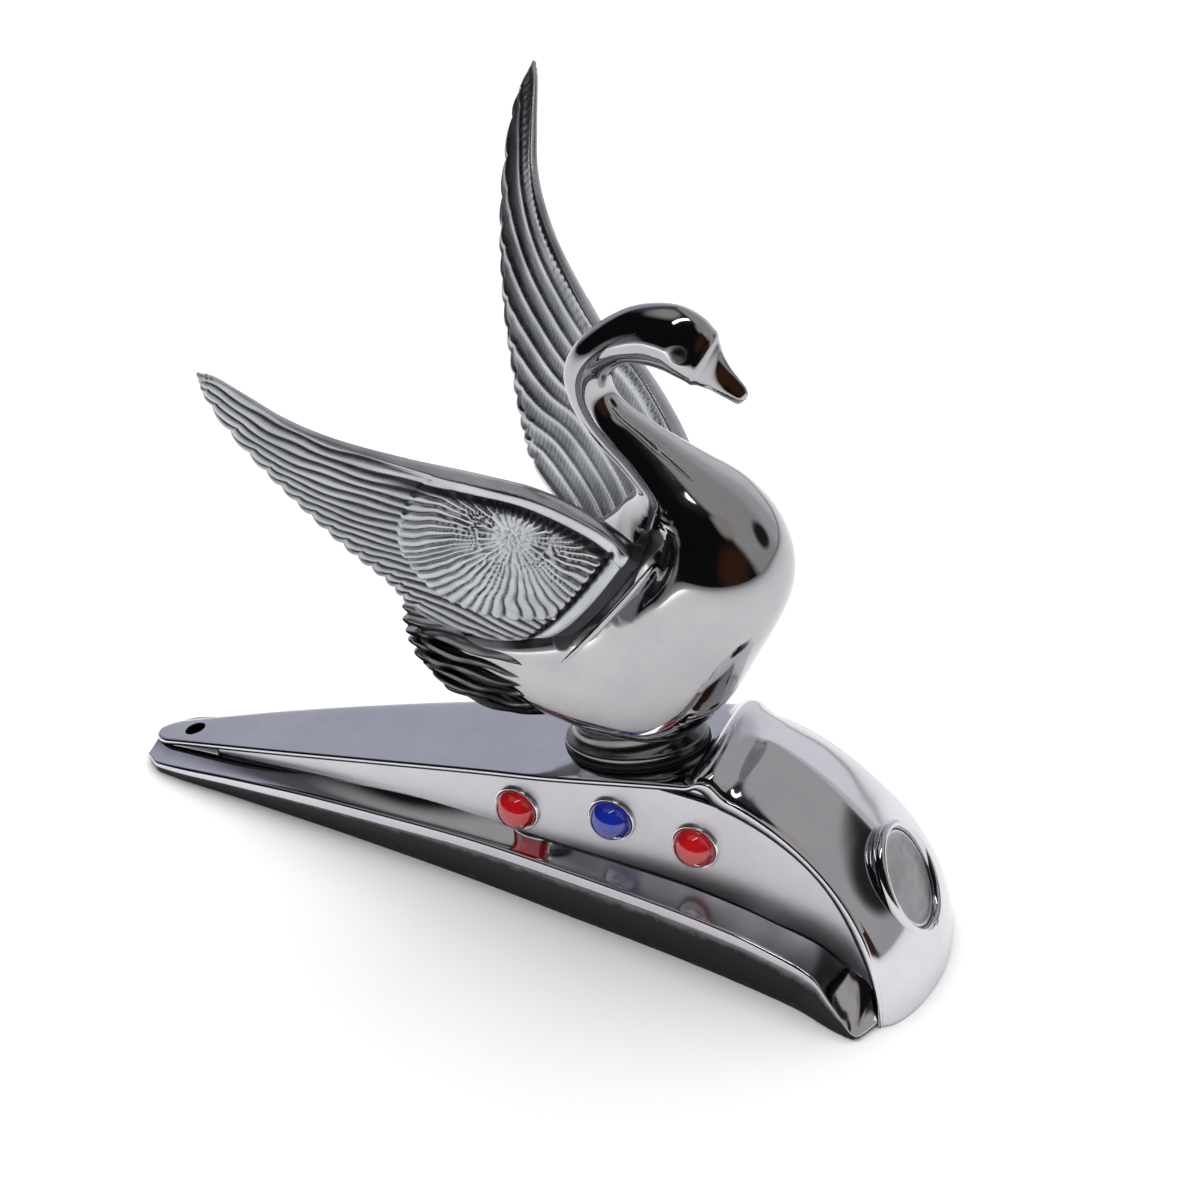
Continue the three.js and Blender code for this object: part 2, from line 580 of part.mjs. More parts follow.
/**
 * Point of the left wing: t runs from root to tip, s from the leading to the trailing edge,
 * and face is 1 on the outer face, -1 on the inner face and 0 halfway between them.
 */
function wingPoint(t, s, face) {
  const front = wingLeading.getPoint(t);
  const chord = new THREE.Vector3().subVectors(wingTrailing.getPoint(t), front);
  const span = wingLeading.getTangent(t).add(wingTrailing.getTangent(t)).normalize();
  const outward = new THREE.Vector3().crossVectors(chord, span).normalize();
  const thickness = THREE.MathUtils.lerp(WING_ROOT_THICKNESS, WING_TIP_THICKNESS, t ** 0.7);
  const camber = WING_CAMBER * (1 - t) * 4 * s * (1 - s);
  const depth = thickness * (0.35 + 0.65 * Math.sqrt(Math.max(0, 1 - (s * 1.6 - 0.5) ** 2)));
  return front.addScaledVector(chord, s).addScaledVector(outward, camber + face * depth / 2);
}

/** Aerofoil sheet from the trunk to the tip. Side is -1 on the right. */
function wingSheet(side) {
  const chordSteps = 5;
  return loft(range(0, 1, 16).map((t) => {
    const outer = range(0, 1, chordSteps).map((s) => wingPoint(t, s, 1));
    const inner = range(1, 0, chordSteps).map((s) => wingPoint(t, s, -1));
    const points = [...outer, ...inner].map((p) => new THREE.Vector3(p.x, side * p.y, p.z));
    return side < 0 ? points.reverse() : points;
  }));
}

/** Dowel across the joint of wing and trunk, in line with the wing. */
function dowel(side, place, margin) {
  const middle = wingPoint(0.04, place, 0);
  const along = wingPoint(0.16, place, 0).sub(middle).normalize();
  const reach = DOWEL_HALF_LENGTH + margin;
  const start = middle.clone().addScaledVector(along, -reach);
  const end = middle.clone().addScaledVector(along, reach);
  for (const point of [start, end]) {
    point.y *= side;
  }
  return rod(DOWEL_RADIUS + margin, start, end, 12);
}

function dowelHoles(side) {
  return joined(...WING_DOWELS.map(([, place]) => dowel(side, place, DOWEL_CLEARANCE)));
}

function wing(side) {
  const sheet = wingSheet(side).subtract(trunk(GAP));
  const pieces = sheet.subtract(dowelHoles(side)).decompose();
  const [largest] = pieces.sort((a, b) => b.volume() - a.volume());
  return geometryOf(largest);
}

// ---------------------------------------------------------------- pedestal and fasteners

/** Oval foot that necks in and spreads again under the swan's belly. */
function pedestal() {
  const bottom = PEDESTAL_GASKET + 2 * GAP;
  const rows = [[0, 1], [PEDESTAL_FLANGE - 0.8, 1], [PEDESTAL_FLANGE, 0.95], [PEDESTAL_FLANGE + 1, 0.84],
    [6, 0.78], [8.5, 0.82], [11, 0.93], [PEDESTAL_TOP, 0.97]];
  const foot = loft(rows.map(([height, scale]) => range(0, 1, 24).slice(0, -1).map((t) => {
    const angle = t * Math.PI * 2;
    return new THREE.Vector3(PEDESTAL_HALF_LENGTH * scale * Math.cos(angle),
      PEDESTAL_HALF_WIDTH * scale * Math.sin(angle), bottom + height);
  })));
  const local = new THREE.Matrix4().copy(boltMatrix);
  const footShape = solid(placed(geometryOf(foot), local)).subtract(trunk(GAP));
  const spigot = rod(SPIGOT_RADIUS, boltPoint(0, 0, bottom + 4), boltPoint(0, 0, SPIGOT_TOP));
  let shape = footShape.add(spigot).subtract(rod(BOLT_HOLE_RADIUS, boltPoint(0, 0, -1), boltPoint(0, 0, 40)));
  for (const end of [1, -1]) {
    const offset = end * PEDESTAL_SCREW_OFFSET;
    shape = shape.subtract(rod(SCREW_RADIUS + GAP, boltPoint(offset, 0, 0), boltPoint(offset, 0, 30), 16));
    const seat = boltPoint(offset, 0, bottom + SCREW_HEAD_HEIGHT + GAP);
    shape = shape.subtract(rod(SCREW_HEAD_RADIUS + GAP, boltPoint(offset, 0, 0), seat, 20));
  }
  return geometryOf(shape);
}

function pedestalGasket() {
  const sheet = solid(oval(PEDESTAL_HALF_LENGTH, PEDESTAL_HALF_WIDTH, GAP, GAP + PEDESTAL_GASKET));
  const hole = solid(oval(BOLT_HOLE_RADIUS, BOLT_HOLE_RADIUS, -1, 5, 24));
  return geometryOf(sheet.subtract(hole));
}

/** Flat-headed screw, head down, in the bolt's frame. */
function pedestalScrew() {
  const bottom = PEDESTAL_GASKET + 2 * GAP;
  const neck = bottom + SCREW_HEAD_HEIGHT;
  const outline = [[0, bottom], [SCREW_HEAD_RADIUS, bottom], [SCREW_HEAD_RADIUS, neck], [SCREW_RADIUS, neck],
    [SCREW_RADIUS, SCREW_END], [0, SCREW_END + SCREW_RADIUS]];
  const points = outline.map(([r, z]) => new THREE.Vector2(r, z));
  return new THREE.LatheGeometry(points, 20).rotateX(Math.PI / 2);
}

function hexagon(radius, bottom, top) {
  const geometry = new THREE.CylinderGeometry(radius, radius, top - bottom, 6);
  return geometry.rotateX(Math.PI / 2).translate(0, 0, (top + bottom) / 2);
}

/** Bolt with its hexagonal head inside the swan's core and its thread below the plate. */
function mountingBolt() {
  const headBottom = SPIGOT_TOP + GAP;
  const head = solid(hexagon(BOLT_HEAD_RADIUS, headBottom, headBottom + BOLT_HEAD_HEIGHT));
  const shank = solid(oval(BOLT_RADIUS, BOLT_RADIUS, headBottom - BOLT_LENGTH, headBottom + 1));
  return geometryOf(head.add(shank));
}

function mountingNut(top) {
  const hole = solid(oval(BOLT_RADIUS + 0.2, BOLT_RADIUS + 0.2, top - 20, top + 5));
  return geometryOf(solid(hexagon(NUT_RADIUS, top - NUT_HEIGHT, top)).subtract(hole));
}

/** Spring washer: a ring with a slit. */
function lockWasher(top) {
  const ring = solid(ringGeometry(BOLT_RADIUS + 0.4, LOCK_WASHER_RADIUS, top - WASHER_THICKNESS, top));
  const slit = new THREE.BoxGeometry(1, 6, 6).translate(0, (BOLT_RADIUS + LOCK_WASHER_RADIUS) / 2, top);
  return geometryOf(ring.subtract(solid(slit)));
}

// ---------------------------------------------------------------- assembly

const ornament = new THREE.Group();
ornament.name = 'swan_hood_ornament';

function add(parent, name, geometry, look, matrix) {
  const mesh = new THREE.Mesh(geometry, look);
  mesh.name = name;
  if (matrix) mesh.applyMatrix4(matrix);
  parent.add(mesh);
}

add(ornament, 'base_shell', geometryOf(baseShell()), material('chrome'));
add(ornament, 'base_gasket', baseGasket(), material('rubber'));

for (const [sideName, side] of [['right', -1], ['left', 1]]) {
  add(ornament, `side_panel_${sideName}`, geometryOf(sidePanel(side)), material('chrome'));
  for (const [place, x, z, color] of JEWELS) {
    const matrix = jewelMatrix(side, x, z);
    const nutTop = -(PANEL_THICKNESS + PANEL_BACK_GAP + WALL + GAP);
    add(ornament, `jewel_${sideName}_${place}`, jewelGeometry(), jewelMaterial(color), matrix);
    add(ornament, `bezel_${sideName}_${place}`, bezelGeometry(), material('chrome'), matrix);
    add(ornament, `push_nut_${sideName}_${place}`, pushNutGeometry(nutTop), material('steel'), matrix);
  }
}

add(ornament, 'nose_medallion', medallion(), material('chrome'), medallionMatrix);
add(ornament, 'medallion_push_nut', pushNutGeometry(-4.6), material('steel'), medallionMatrix);

add(ornament, 'swan_body', swanBody(), material('chrome'));
for (const [sideName, side] of [['right', -1], ['left', 1]]) {
  add(ornament, `wing_${sideName}`, wing(side), material('feather'));
  for (const [name, place] of WING_DOWELS) {
    add(ornament, `wing_dowel_${sideName}_${name}`, geometryOf(dowel(side, place, 0)), material('steel'));
  }
}

add(ornament, 'swan_pedestal', pedestal(), material('chrome'));

const boltFrame = new THREE.Group();
boltFrame.name = 'bolt_frame';
boltFrame.applyMatrix4(boltMatrix);
ornament.add(boltFrame);

const washerTop = -(PAD_DEPTH + GAP);
const lockWasherTop = washerTop - WASHER_THICKNESS - GAP;
const nutTop = lockWasherTop - WASHER_THICKNESS - GAP;
const washer = ringGeometry(BOLT_RADIUS + 0.4, WASHER_RADIUS, washerTop - WASHER_THICKNESS, washerTop);
add(boltFrame, 'pedestal_gasket', pedestalGasket(), material('rubber'));
add(boltFrame, 'mounting_bolt', mountingBolt(), material('steel'));
for (const [place, end] of [['front', 1], ['rear', -1]]) {
  const offset = new THREE.Matrix4().makeTranslation(end * PEDESTAL_SCREW_OFFSET, 0, 0);
  add(boltFrame, `pedestal_screw_${place}`, pedestalScrew(), material('steel'), offset);
}
add(boltFrame, 'flat_washer', washer, material('steel'));
add(boltFrame, 'lock_washer', lockWasher(lockWasherTop), material('steel'));
add(boltFrame, 'mounting_nut', mountingNut(nutTop), material('steel'));

export default ornament;
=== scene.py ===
"""Swan hood ornament: the visible pieces, their materials and a plain studio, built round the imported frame.

Shapes are worked out in millimetres and turned into metres when a mesh is made.
+X points to the nose and the beak, +Y to the ornament's left, +Z up.
"""

import json
import math

import bmesh
import bpy
import numpy as np
from mathutils import Matrix, Vector


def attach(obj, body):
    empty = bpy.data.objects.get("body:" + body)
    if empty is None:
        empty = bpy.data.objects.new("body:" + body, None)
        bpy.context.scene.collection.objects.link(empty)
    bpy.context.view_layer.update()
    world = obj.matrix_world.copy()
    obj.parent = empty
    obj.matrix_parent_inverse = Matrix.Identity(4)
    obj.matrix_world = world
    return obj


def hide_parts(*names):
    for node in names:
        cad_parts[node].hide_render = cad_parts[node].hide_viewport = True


MM = 0.001
SIDES = (("right", -1), ("left", 1))

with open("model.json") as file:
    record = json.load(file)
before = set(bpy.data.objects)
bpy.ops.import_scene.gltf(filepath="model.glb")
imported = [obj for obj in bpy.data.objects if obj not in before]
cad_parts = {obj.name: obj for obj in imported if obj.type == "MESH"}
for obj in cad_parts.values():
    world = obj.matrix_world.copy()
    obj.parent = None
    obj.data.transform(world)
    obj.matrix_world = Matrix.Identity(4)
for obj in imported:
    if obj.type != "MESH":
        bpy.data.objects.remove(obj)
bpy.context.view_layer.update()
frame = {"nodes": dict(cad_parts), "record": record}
node_slot = {row["node"]: row["material_slot"] for row in frame["record"]["subparts"]}

# ------------------------------------------------------------------ curves and meshes


def spline(stations):
    """Smooth vector-valued function through rows of (position, value, value, ...)."""
    table = np.array(stations, float)
    place, value = table[:, 0], table[:, 1:]
    before = np.maximum(np.arange(len(place)) - 1, 0)
    after = np.minimum(np.arange(len(place)) + 1, len(place) - 1)
    slope = (value[after] - value[before]) / (place[after] - place[before])[:, None]

    def at(where):
        where = np.clip(np.asarray(where, float), place[0], place[-1])
        k = np.clip(np.searchsorted(place, where, side="right") - 1, 0, len(place) - 2)
        span = (place[k + 1] - place[k])[..., None]
        t = ((where - place[k]) / (place[k + 1] - place[k]))[..., None]
        rise = value[k + 1] - value[k]
        bend = (1 - t) * (slope[k] * span - rise) - t * (slope[k + 1] * span - rise)
        found = value[k] + rise * t + t * (1 - t) * bend
        return found[..., 0] if found.shape[-1] == 1 else found

    return at


def curve(points):
    """Smooth curve through points, run from 0 to 1."""
    steps = np.linspace(0, 1, len(points))
    return spline([(step, *point) for step, point in zip(steps, points)])


def ease(start, end, value):
    """Smooth step from 0 at start to 1 at end."""
    t = np.clip((np.asarray(value, float) - start) / (end - start), 0, 1)
    return t * t * (3 - 2 * t)


def bell(value, centre, width):
    """Smooth hump of height 1 about a centre."""
    return np.exp(-(((value - centre) / width) ** 2))


def unit(vectors):
    return vectors / np.maximum(np.linalg.norm(vectors, axis=-1, keepdims=True), 1e-9)


class Shape:
    """Vertices in millimetres and faces of one piece, grown part by part."""

    def __init__(self):
        self.points, self.faces, self.shade, self.count = [], [], [], 0

    def add(self, points, faces, shade=None):
        points = np.asarray(points, float).reshape(-1, 3)
        self.points.append(points)
        self.faces += [tuple(int(i) + self.count for i in face) for face in faces]
        self.shade.append(np.zeros(len(points)) if shade is None else np.asarray(shade, float).ravel())
        self.count += len(points)
        return self

    def tube(self, rows, shade=None, caps=True):
        """Closed skin over rows of section loops, with a fan at each end."""
        m, n = rows.shape[:2]
        points = rows.reshape(-1, 3)
        faces = [(i * n + j, i * n + (j + 1) % n, (i + 1) * n + (j + 1) % n, (i + 1) * n + j)
                 for i in range(m - 1) for j in range(n)]
        if caps:
            points = np.vstack([points, rows[0].mean(0), rows[-1].mean(0)])
            faces += [(m * n, (j + 1) % n, j) for j in range(n)]
            faces += [(m * n + 1, (m - 1) * n + j, (m - 1) * n + (j + 1) % n) for j in range(n)]
            if shade is not None:
                shade = np.append(np.asarray(shade).ravel(), [0, 0])
        return self.add(points, faces, shade)

    def ring(self, rows, shade=None):
        """Closed skin over section loops that run round and meet their start."""
        m, n = rows.shape[:2]
        faces = [(i * n + j, i * n + (j + 1) % n, (i + 1) % m * n + (j + 1) % n, (i + 1) % m * n + j)
                 for i in range(m) for j in range(n)]
        return self.add(rows.reshape(-1, 3), faces, shade)

    def mirror(self):
        """Adds the other side's copy, across the plane y = 0."""
        points = np.vstack(self.points) * (1, -1, 1)
        self.add(points, [face[::-1] for face in self.faces], np.concatenate(self.shade))
        return self

    def sided(self, side):
        """Turns a left-hand shape into the right-hand one where side is -1."""
        if side < 0:
            self.points = [points * (1, -1, 1) for points in self.points]
            self.faces = [face[::-1] for face in self.faces]
        return self

    def placed(self, matrix):
        """Moves a local shape by the rows of a turn and a shift."""
        turn, shift = matrix
        self.points = [points @ np.array(turn) + np.array(shift) for points in self.points]
        return self

    def join(self, other, shade=None):
        """Adds another shape's skin, with one shade all over it."""
        points = np.vstack(other.points)
        return self.add(points, other.faces, None if shade is None else np.full(len(points), shade))


def build(name, shape, body, slot, replaces, crease=38):
    """Makes the object, gives it its finish, and joins it to the frame."""
    mesh = bpy.data.meshes.new(name)
    mesh.from_pydata((np.vstack(shape.points) * MM).tolist(), [], shape.faces)
    mesh.validate()
    groove = mesh.attributes.new("groove", "FLOAT", "POINT")
    groove.data.foreach_set("value", np.concatenate(shape.shade).astype(np.float32))
    mesh.shade_smooth()
    mesh.set_sharp_from_angle(angle=math.radians(crease))
    thing = bpy.data.objects.new(name, mesh)
    bpy.context.scene.collection.objects.link(thing)
    turn_outward(mesh)
    mesh.materials.append(FINISHES[slot])
    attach(thing, body)
    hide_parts(*replaces)
    return thing


def turn_outward(mesh):
    """Makes every face's normal point out of its closed skin."""
    work = bmesh.new()
    work.from_mesh(mesh)
    bmesh.ops.recalc_face_normals(work, faces=work.faces)
    work.to_mesh(mesh)
    work.free()


def lathe(outline, sides=64):
    """Section loops of a turned shape; outline rows are (radius, height), bottom to top."""
    turn = np.linspace(0, 2 * math.pi, sides, endpoint=False)
    outline = np.array(outline, float)
    rows = np.zeros((len(outline), sides, 3))
    rows[..., 0] = outline[:, :1] * np.cos(turn)
    rows[..., 1] = outline[:, :1] * np.sin(turn)
    rows[..., 2] = outline[:, 1:]
    return rows


def bead(path, radius, sides=20):
    """Round rod along a path of points; radius is a function of the share of its length."""
    path = np.array(path, float)
    along = unit(np.gradient(path, axis=0))
    side = unit(np.cross(along, (0.0, 0.0, 1.0)))
    up = np.cross(side, along)
    step = np.linspace(0, 1, len(path))
    size = radius(step)
    turn = np.linspace(0, 2 * math.pi, sides, endpoint=False)
    return (path[:, None] + size[:, None, None] * (side[:, None] * np.cos(turn)[None, :, None]
            + up[:, None] * np.sin(turn)[None, :, None]))


# ------------------------------------------------------------------ base outline

TAIL_X, TOE_X, HOOD_X = -130.0, 119.0, 60.0
TAIL_ROUND_X, TAIL_ROUND_LENGTH, TAIL_ROUND_DEPTH = -124.0, 6.2, 0.8
PLATE_LENGTH, PLATE_TAIL_HEIGHT, PLATE_RISE, PLATE_SAG = 245.0, 6.8, 81.6, 13.9
PLATE_THICKNESS, PLATE_CROWN = 2.2, 0.35
EDGE_HEIGHT, EDGE_CORNER = 2.2, 0.9
# Painted shade under the deck's edge: strongest underneath, fading up the edge.
EDGE_PAINTED_SHADE = (1.2, 1.2, 1.2, 1.2, 1.1, 0.5)  # from the deck's underside up its edge
BASE_BOTTOM = 1.5
POCKET_DEPTH, WALL = 2.6, 2.4
LIP_LIFT, LIP_DROP, LIP_CORNER, LIP_DRAFT = 0.8, 0.4, 1.0, 0.05
SHELF_COVE = 1.4
# Second value: strength of the painted shade down the skirt.
SKIRT_BOW, SKIRT_PAINTED_SHADE = 0.55, 1.3
TAIL_HOLE_X, TAIL_HOLE_RADIUS, TAIL_HOLE_DEPTH = -117.0, 3.2, 1.9
PANEL_BACK_GAP, PANEL_THICKNESS = 0.45, 1.1
PANEL_START, PANEL_TIP = -104.5, 116.3
HOOD_MEAN_LIP, HOOD_WALL_RADIUS = 57.4, 57.2

# Stations down the length of the base: (x, value)
half_width = spline([(-130, 5), (-85, 10.9), (-45, 15), (-8, 18), (15, 19.8), (57, 20.5), (85, 22.3),
                     (100, 23.6), (112, 26.2), (120, 29)])
skirt_half_width = spline([(-130, 8.5), (-124, 12.4), (-95, 14.2), (-55, 16.4), (-15, 19.4), (20, 23),
                           (60, 27.2), (95, 32.3), (115, 36.8), (119, 29.5)])
shelf_inner = spline([(-130, 5.6), (-109, 10), (-75, 16.7), (-51, 20.9), (-28, 24), (0, 25.3), (55, 24.2),
                      (75, 22.4), (86, 20.8), (98, 19), (106, 16), (114, 13), (119, 9)])
shelf_outer = spline([(-130, 2.7), (-106, 5.3), (-74, 8.8), (-40, 12), (-8, 15), (25, 16.6), (75, 17.2),
                      (90, 16.2), (98, 15.4), (102, 14.4), (106, 11), (110.5, 6.9), (114, 3), (119, 2.4)])
skirt_tuck = spline([(-130, 0), (-100, 0.4), (-51, 0.7), (0, 0.9), (60, 0.9), (88, 0.7), (105, 0.2),
                     (119, 0)])
lip_reach = spline([(-130, 0), (-100, 1.6), (-51, 2.8), (34, 3), (70, 2.2), (90, 1.2), (105, 0), (119, 0)])
lip_face = spline([(-130, 1.2), (-110, 2.3), (-60, 3.6), (60, 3.6), (88, 2.8), (102, 1.6), (110, 0.6),
                   (119, 0.5)])
# Stations round the hood: (degrees from vertical, value)
hood_edge = spline([(-3, 61), (0, 63.4), (3, 63.8), (6, 61.8), (8, 60.9), (11, 60.7), (20, 60), (40, 59),
                    (60, 59.6), (90, 60.3)])
hood_crown = spline([(-3, 1), (0, 4), (3, 5.2), (6, 6), (8, 6.6), (13, 7.9), (22, 7.3), (32, 6.5),
                     (42, 6), (52, 6.2), (62, 7.5), (72, 8.6), (84, 9.4), (90, 9.5)])
hood_ridge = spline([(-3, 0), (3, 0.1), (8, 0.4), (14, 0.7), (50, 0.7), (72, 0.4), (90, 0.1)])
hood_lip = spline([(-3, 56.4), (50, 56.2), (62, 56.4), (72, 57.4), (82, 58.6), (90, 59.2)])


def plate_height(x):
    t = (np.asarray(x, float) - TAIL_X) / PLATE_LENGTH
    return PLATE_TAIL_HEIGHT + PLATE_RISE * t - PLATE_SAG * t * t


def tail_round(x):
    """The tail's plan outline closes in a rounded end."""
    share = np.clip((TAIL_ROUND_X - np.asarray(x, float)) / TAIL_ROUND_LENGTH, 0, 1)
    return np.sqrt(1 - share ** 2 * TAIL_ROUND_DEPTH)


def hood_point(degrees, radius, y):
    """Place at an angle from vertical round the hood's cross axis."""
    angle = np.radians(degrees)
    return np.stack(np.broadcast_arrays(HOOD_X + radius * np.sin(angle), y, radius * np.cos(angle)), -1)


def deck_outline(width, low, edge, crown, ridge):
    """Half outline of the deck as rows of (y, height): outer from under the edge over the top to the
    middle, and back along the underside. Ridge runs from 0 for a round top to 1 for a sharp one."""
    corner, ridge_round = EDGE_CORNER, 0.004
    turn = np.linspace(0, math.pi / 2, 7)
    lower = [(width - 3, low), (width - 1.2, low), (width - 0.4, low + 0.1), (width - 0.1, low + 0.4)]
    side = [(width, low + 0.9), (width, (low + edge) / 2)]
    upper = [(width - corner + corner * math.cos(a), edge - corner + corner * math.sin(a)) for a in turn]
    across = np.concatenate([np.linspace(0.03, 0.3, 12), np.linspace(0.34, 0.96, 30), [1.0]])
    rows = lower + side + upper
    inner = width - corner
    for share in across:
        y = inner * (1 - share)
        u = y / inner
        blunt = math.sqrt(ridge_round)
        soft = 1 - (math.sqrt(u * u + ridge_round) - blunt) / (math.sqrt(1 + ridge_round) - blunt)
        rise = (1 - ridge) * (1 - u ** 2.2) ** 0.62 + ridge * soft
        rows.append((y, edge + crown * rise))
    back = [(y * (width - 3.2) / width, z - PLATE_THICKNESS) for y, z in rows[-1:12:-4]]
    return np.array(rows), np.array(back)


def loop_of(outer, back):
    """Full section loop from the half outline: left, over the top, right, and back underneath."""
    flip = np.array([-1, 1])
    return np.vstack([outer, (outer * flip)[-2::-1], (back * flip)[::-1][:-1], back])


def deck_rows():
    """Sections of the deck: square to X along the plate, then turning about the hood's axis."""
    rows = []
    for x in np.concatenate([np.linspace(-130, -122, 14), np.linspace(-121.4, -112.6, 60),
                            np.linspace(-111.5, 56, 113)]):
        width = float(half_width(x) * tail_round(x))
        top = float(plate_height(x))
        outer, back = deck_outline(width, top - EDGE_HEIGHT, top, PLATE_CROWN, 0.0)
        loop = loop_of(outer, back)
        rows.append(np.column_stack([np.full(len(loop), x), loop]))
    for degrees in np.concatenate([np.arange(-2.2, 14, 0.4), np.arange(14, 90.1, 0.6)]):
        edge, crown, low = float(hood_edge(degrees)), float(hood_crown(degrees)), float(hood_lip(degrees))
        width = float(half_width(hood_point(degrees, edge, 0)[0]))
        start = float(ease(-3, 8, degrees))
        low = (1 - start) * (edge - EDGE_HEIGHT) + start * low
        outer, back = deck_outline(width, low, edge, crown, float(hood_ridge(degrees)))
        loop = loop_of(outer, back)
        rows.append(hood_point(degrees, loop[:, 1], loop[:, 0]))
    return np.array(rows)


MEDAL_ANGLE, MEDAL_FLOOR = 61.0, 63.4
MEDAL_LONG, MEDAL_WIDE, MEDAL_MARGIN, MEDAL_GAP = 15.4, 11.6, 0.8, 0.3
MEDAL_SEAT, MEDAL_DARKENING = 0.15, 0.75
RIM_HALF_WIDTH, RIM_MIDDLE, RIM_SWELL = 1.5, 1.3, 1.9


def medal_place():
    """Turn and shift that put a local shape on the nose: local X runs down the nose, local Z out of it."""
    angle = math.radians(MEDAL_ANGLE)
    out = (math.sin(angle), 0, math.cos(angle))
    down = (math.cos(angle), 0, -math.sin(angle))
    return [down, (0, 1, 0), out], hood_point(MEDAL_ANGLE, MEDAL_FLOOR, 0)


def sink_medallion(rows):
    """Presses the oval pocket of the medallion into the deck's rows."""
    turn, shift = medal_place()
    turn = np.array(turn)
    local = (rows - shift) @ turn.T
    reach = np.hypot(local[..., 0] / (MEDAL_LONG + MEDAL_MARGIN), local[..., 1] / (MEDAL_WIDE + MEDAL_MARGIN))
    inside = (reach < 1) & (local[..., 2] > -0.2)
    local[..., 2] = np.where(inside, MEDAL_SEAT, local[..., 2])
    return np.where(inside[..., None], local @ turn + shift, rows)


def edge_shade(rows):
    """Painted shade under the deck's edge on both sides."""
    shade, size = np.zeros(rows.shape[1]), len(EDGE_PAINTED_SHADE)
    last = 2 * len(deck_outline(10, 8, 10, 1, 0)[0]) - 2
    shade[:size] = EDGE_PAINTED_SHADE
    shade[last:last - size:-1] = EDGE_PAINTED_SHADE
    return np.broadcast_to(shade, rows.shape[:2])


def sink_screw_hole(rows):
    """Presses the fixing screw's hole into the tail and marks its inside for painted shade."""
    inside = (np.hypot(rows[..., 0] - TAIL_HOLE_X, rows[..., 1]) < TAIL_HOLE_RADIUS) & (
        rows[..., 2] > plate_height(rows[..., 0]) - 1)
    sunk = rows.copy()
    sunk[..., 2] = np.where(inside, rows[..., 2] - TAIL_HOLE_DEPTH, rows[..., 2])
    # The hole's inside gets full painted shade.
    return sunk, inside.astype(float)


def shelf_rows():
    """Shelf, lip and skirt of the left side: one thin wall whose section runs out, down and back."""
    rows, shade = [], []
    down = np.linspace(0, 1, 14)[1:]
    stations = np.concatenate([np.linspace(TAIL_X, -122, 12), np.linspace(-121, 88, 106),
                               np.linspace(88.6, TOE_X, 52)])
    for x in stations:
        foot = float(skirt_half_width(x) - skirt_tuck(x))
        wide = float(skirt_half_width(x) + lip_reach(x))
        face = float(lip_face(x))
        low = float(shelf_outer(x)) + LIP_LIFT * float(lip_reach(x)) - LIP_DROP
        top, high = low + face, float(shelf_inner(x))
        inner = float((half_width(x) - POCKET_DEPTH) * tail_round(x)) - 0.6
        inner = min(inner, wide - WALL)
        round_off = min(LIP_CORNER, face * 0.45)
        reach = wide - round_off
        shelf = [(inner + (reach - inner) * t, top + (high - top) * (1 - t) ** SHELF_COVE)
                 for t in np.linspace(0, 1, 16)]
        nose = [(reach + round_off * math.sin(a), top - round_off * (1 - math.cos(a)))
                for a in np.linspace(0.15, math.pi / 2, 8)]
        band = [(wide - LIP_DRAFT * t * t, top - round_off - (face - round_off) * t)
                for t in np.linspace(0.15, 1, 6)]
        drop = max(low - BASE_BOTTOM, 0.3)
        tuck = wide - foot + min(0.4, drop * 0.1)
        skirt = [(wide - LIP_DRAFT - tuck * t ** SKIRT_BOW, low - drop * t) for t in down]
        under = [(wide - tuck - 2.0, low - drop)]
        inside = [(foot - WALL, max(low - 3, BASE_BOTTOM + 0.2)), (inner, max(high - 2.6, BASE_BOTTOM + 0.4))]
        half = np.array(shelf + nose + band + skirt + under + inside)
        rows.append(np.column_stack([np.full(len(half), x), half]))
        bright = len(shelf) + len(nose) + len(band)
        # Painted shade down the skirt: darkest below the lip, a little lighter at the foot.
        painted_skirt_shade = [SKIRT_PAINTED_SHADE * t ** 0.35 * (1 - 0.35 * t ** 3) for t in down]
        shade.append([0.0] * bright + painted_skirt_shade + [0.0] * (len(under) + len(inside)))
    return np.array(rows), np.array(shade)


def wall_rows():
    """Upright wall behind the left side panel, flush with the panel where it runs on to the tail."""
    rows = []
    for x in np.concatenate([np.linspace(-129, PANEL_START - 0.1, 24),
                             np.linspace(PANEL_START + 0.2, 113, 60)]):
        pocket = POCKET_DEPTH if x > PANEL_START else POCKET_DEPTH - PANEL_BACK_GAP - PANEL_THICKNESS
        outer = float((half_width(x) - pocket) * tail_round(x))
        inner = max(outer - WALL, 0.3)
        top = float(plate_height(x)) - EDGE_HEIGHT + 0.4
        if x > HOOD_X:
            top = math.sqrt(max(HOOD_WALL_RADIUS ** 2 - (x - HOOD_X) ** 2, 0)) + 0.3
            top = max(top, float(shelf_inner(x)) - 1)
        low = min(float(shelf_inner(x)) - 1.5, top - 0.5)
        loop = [(outer, low), (outer, top), (inner, top), (inner, low)]
        rows.append([(x, y, z) for y, z in loop])
    return np.array(rows)


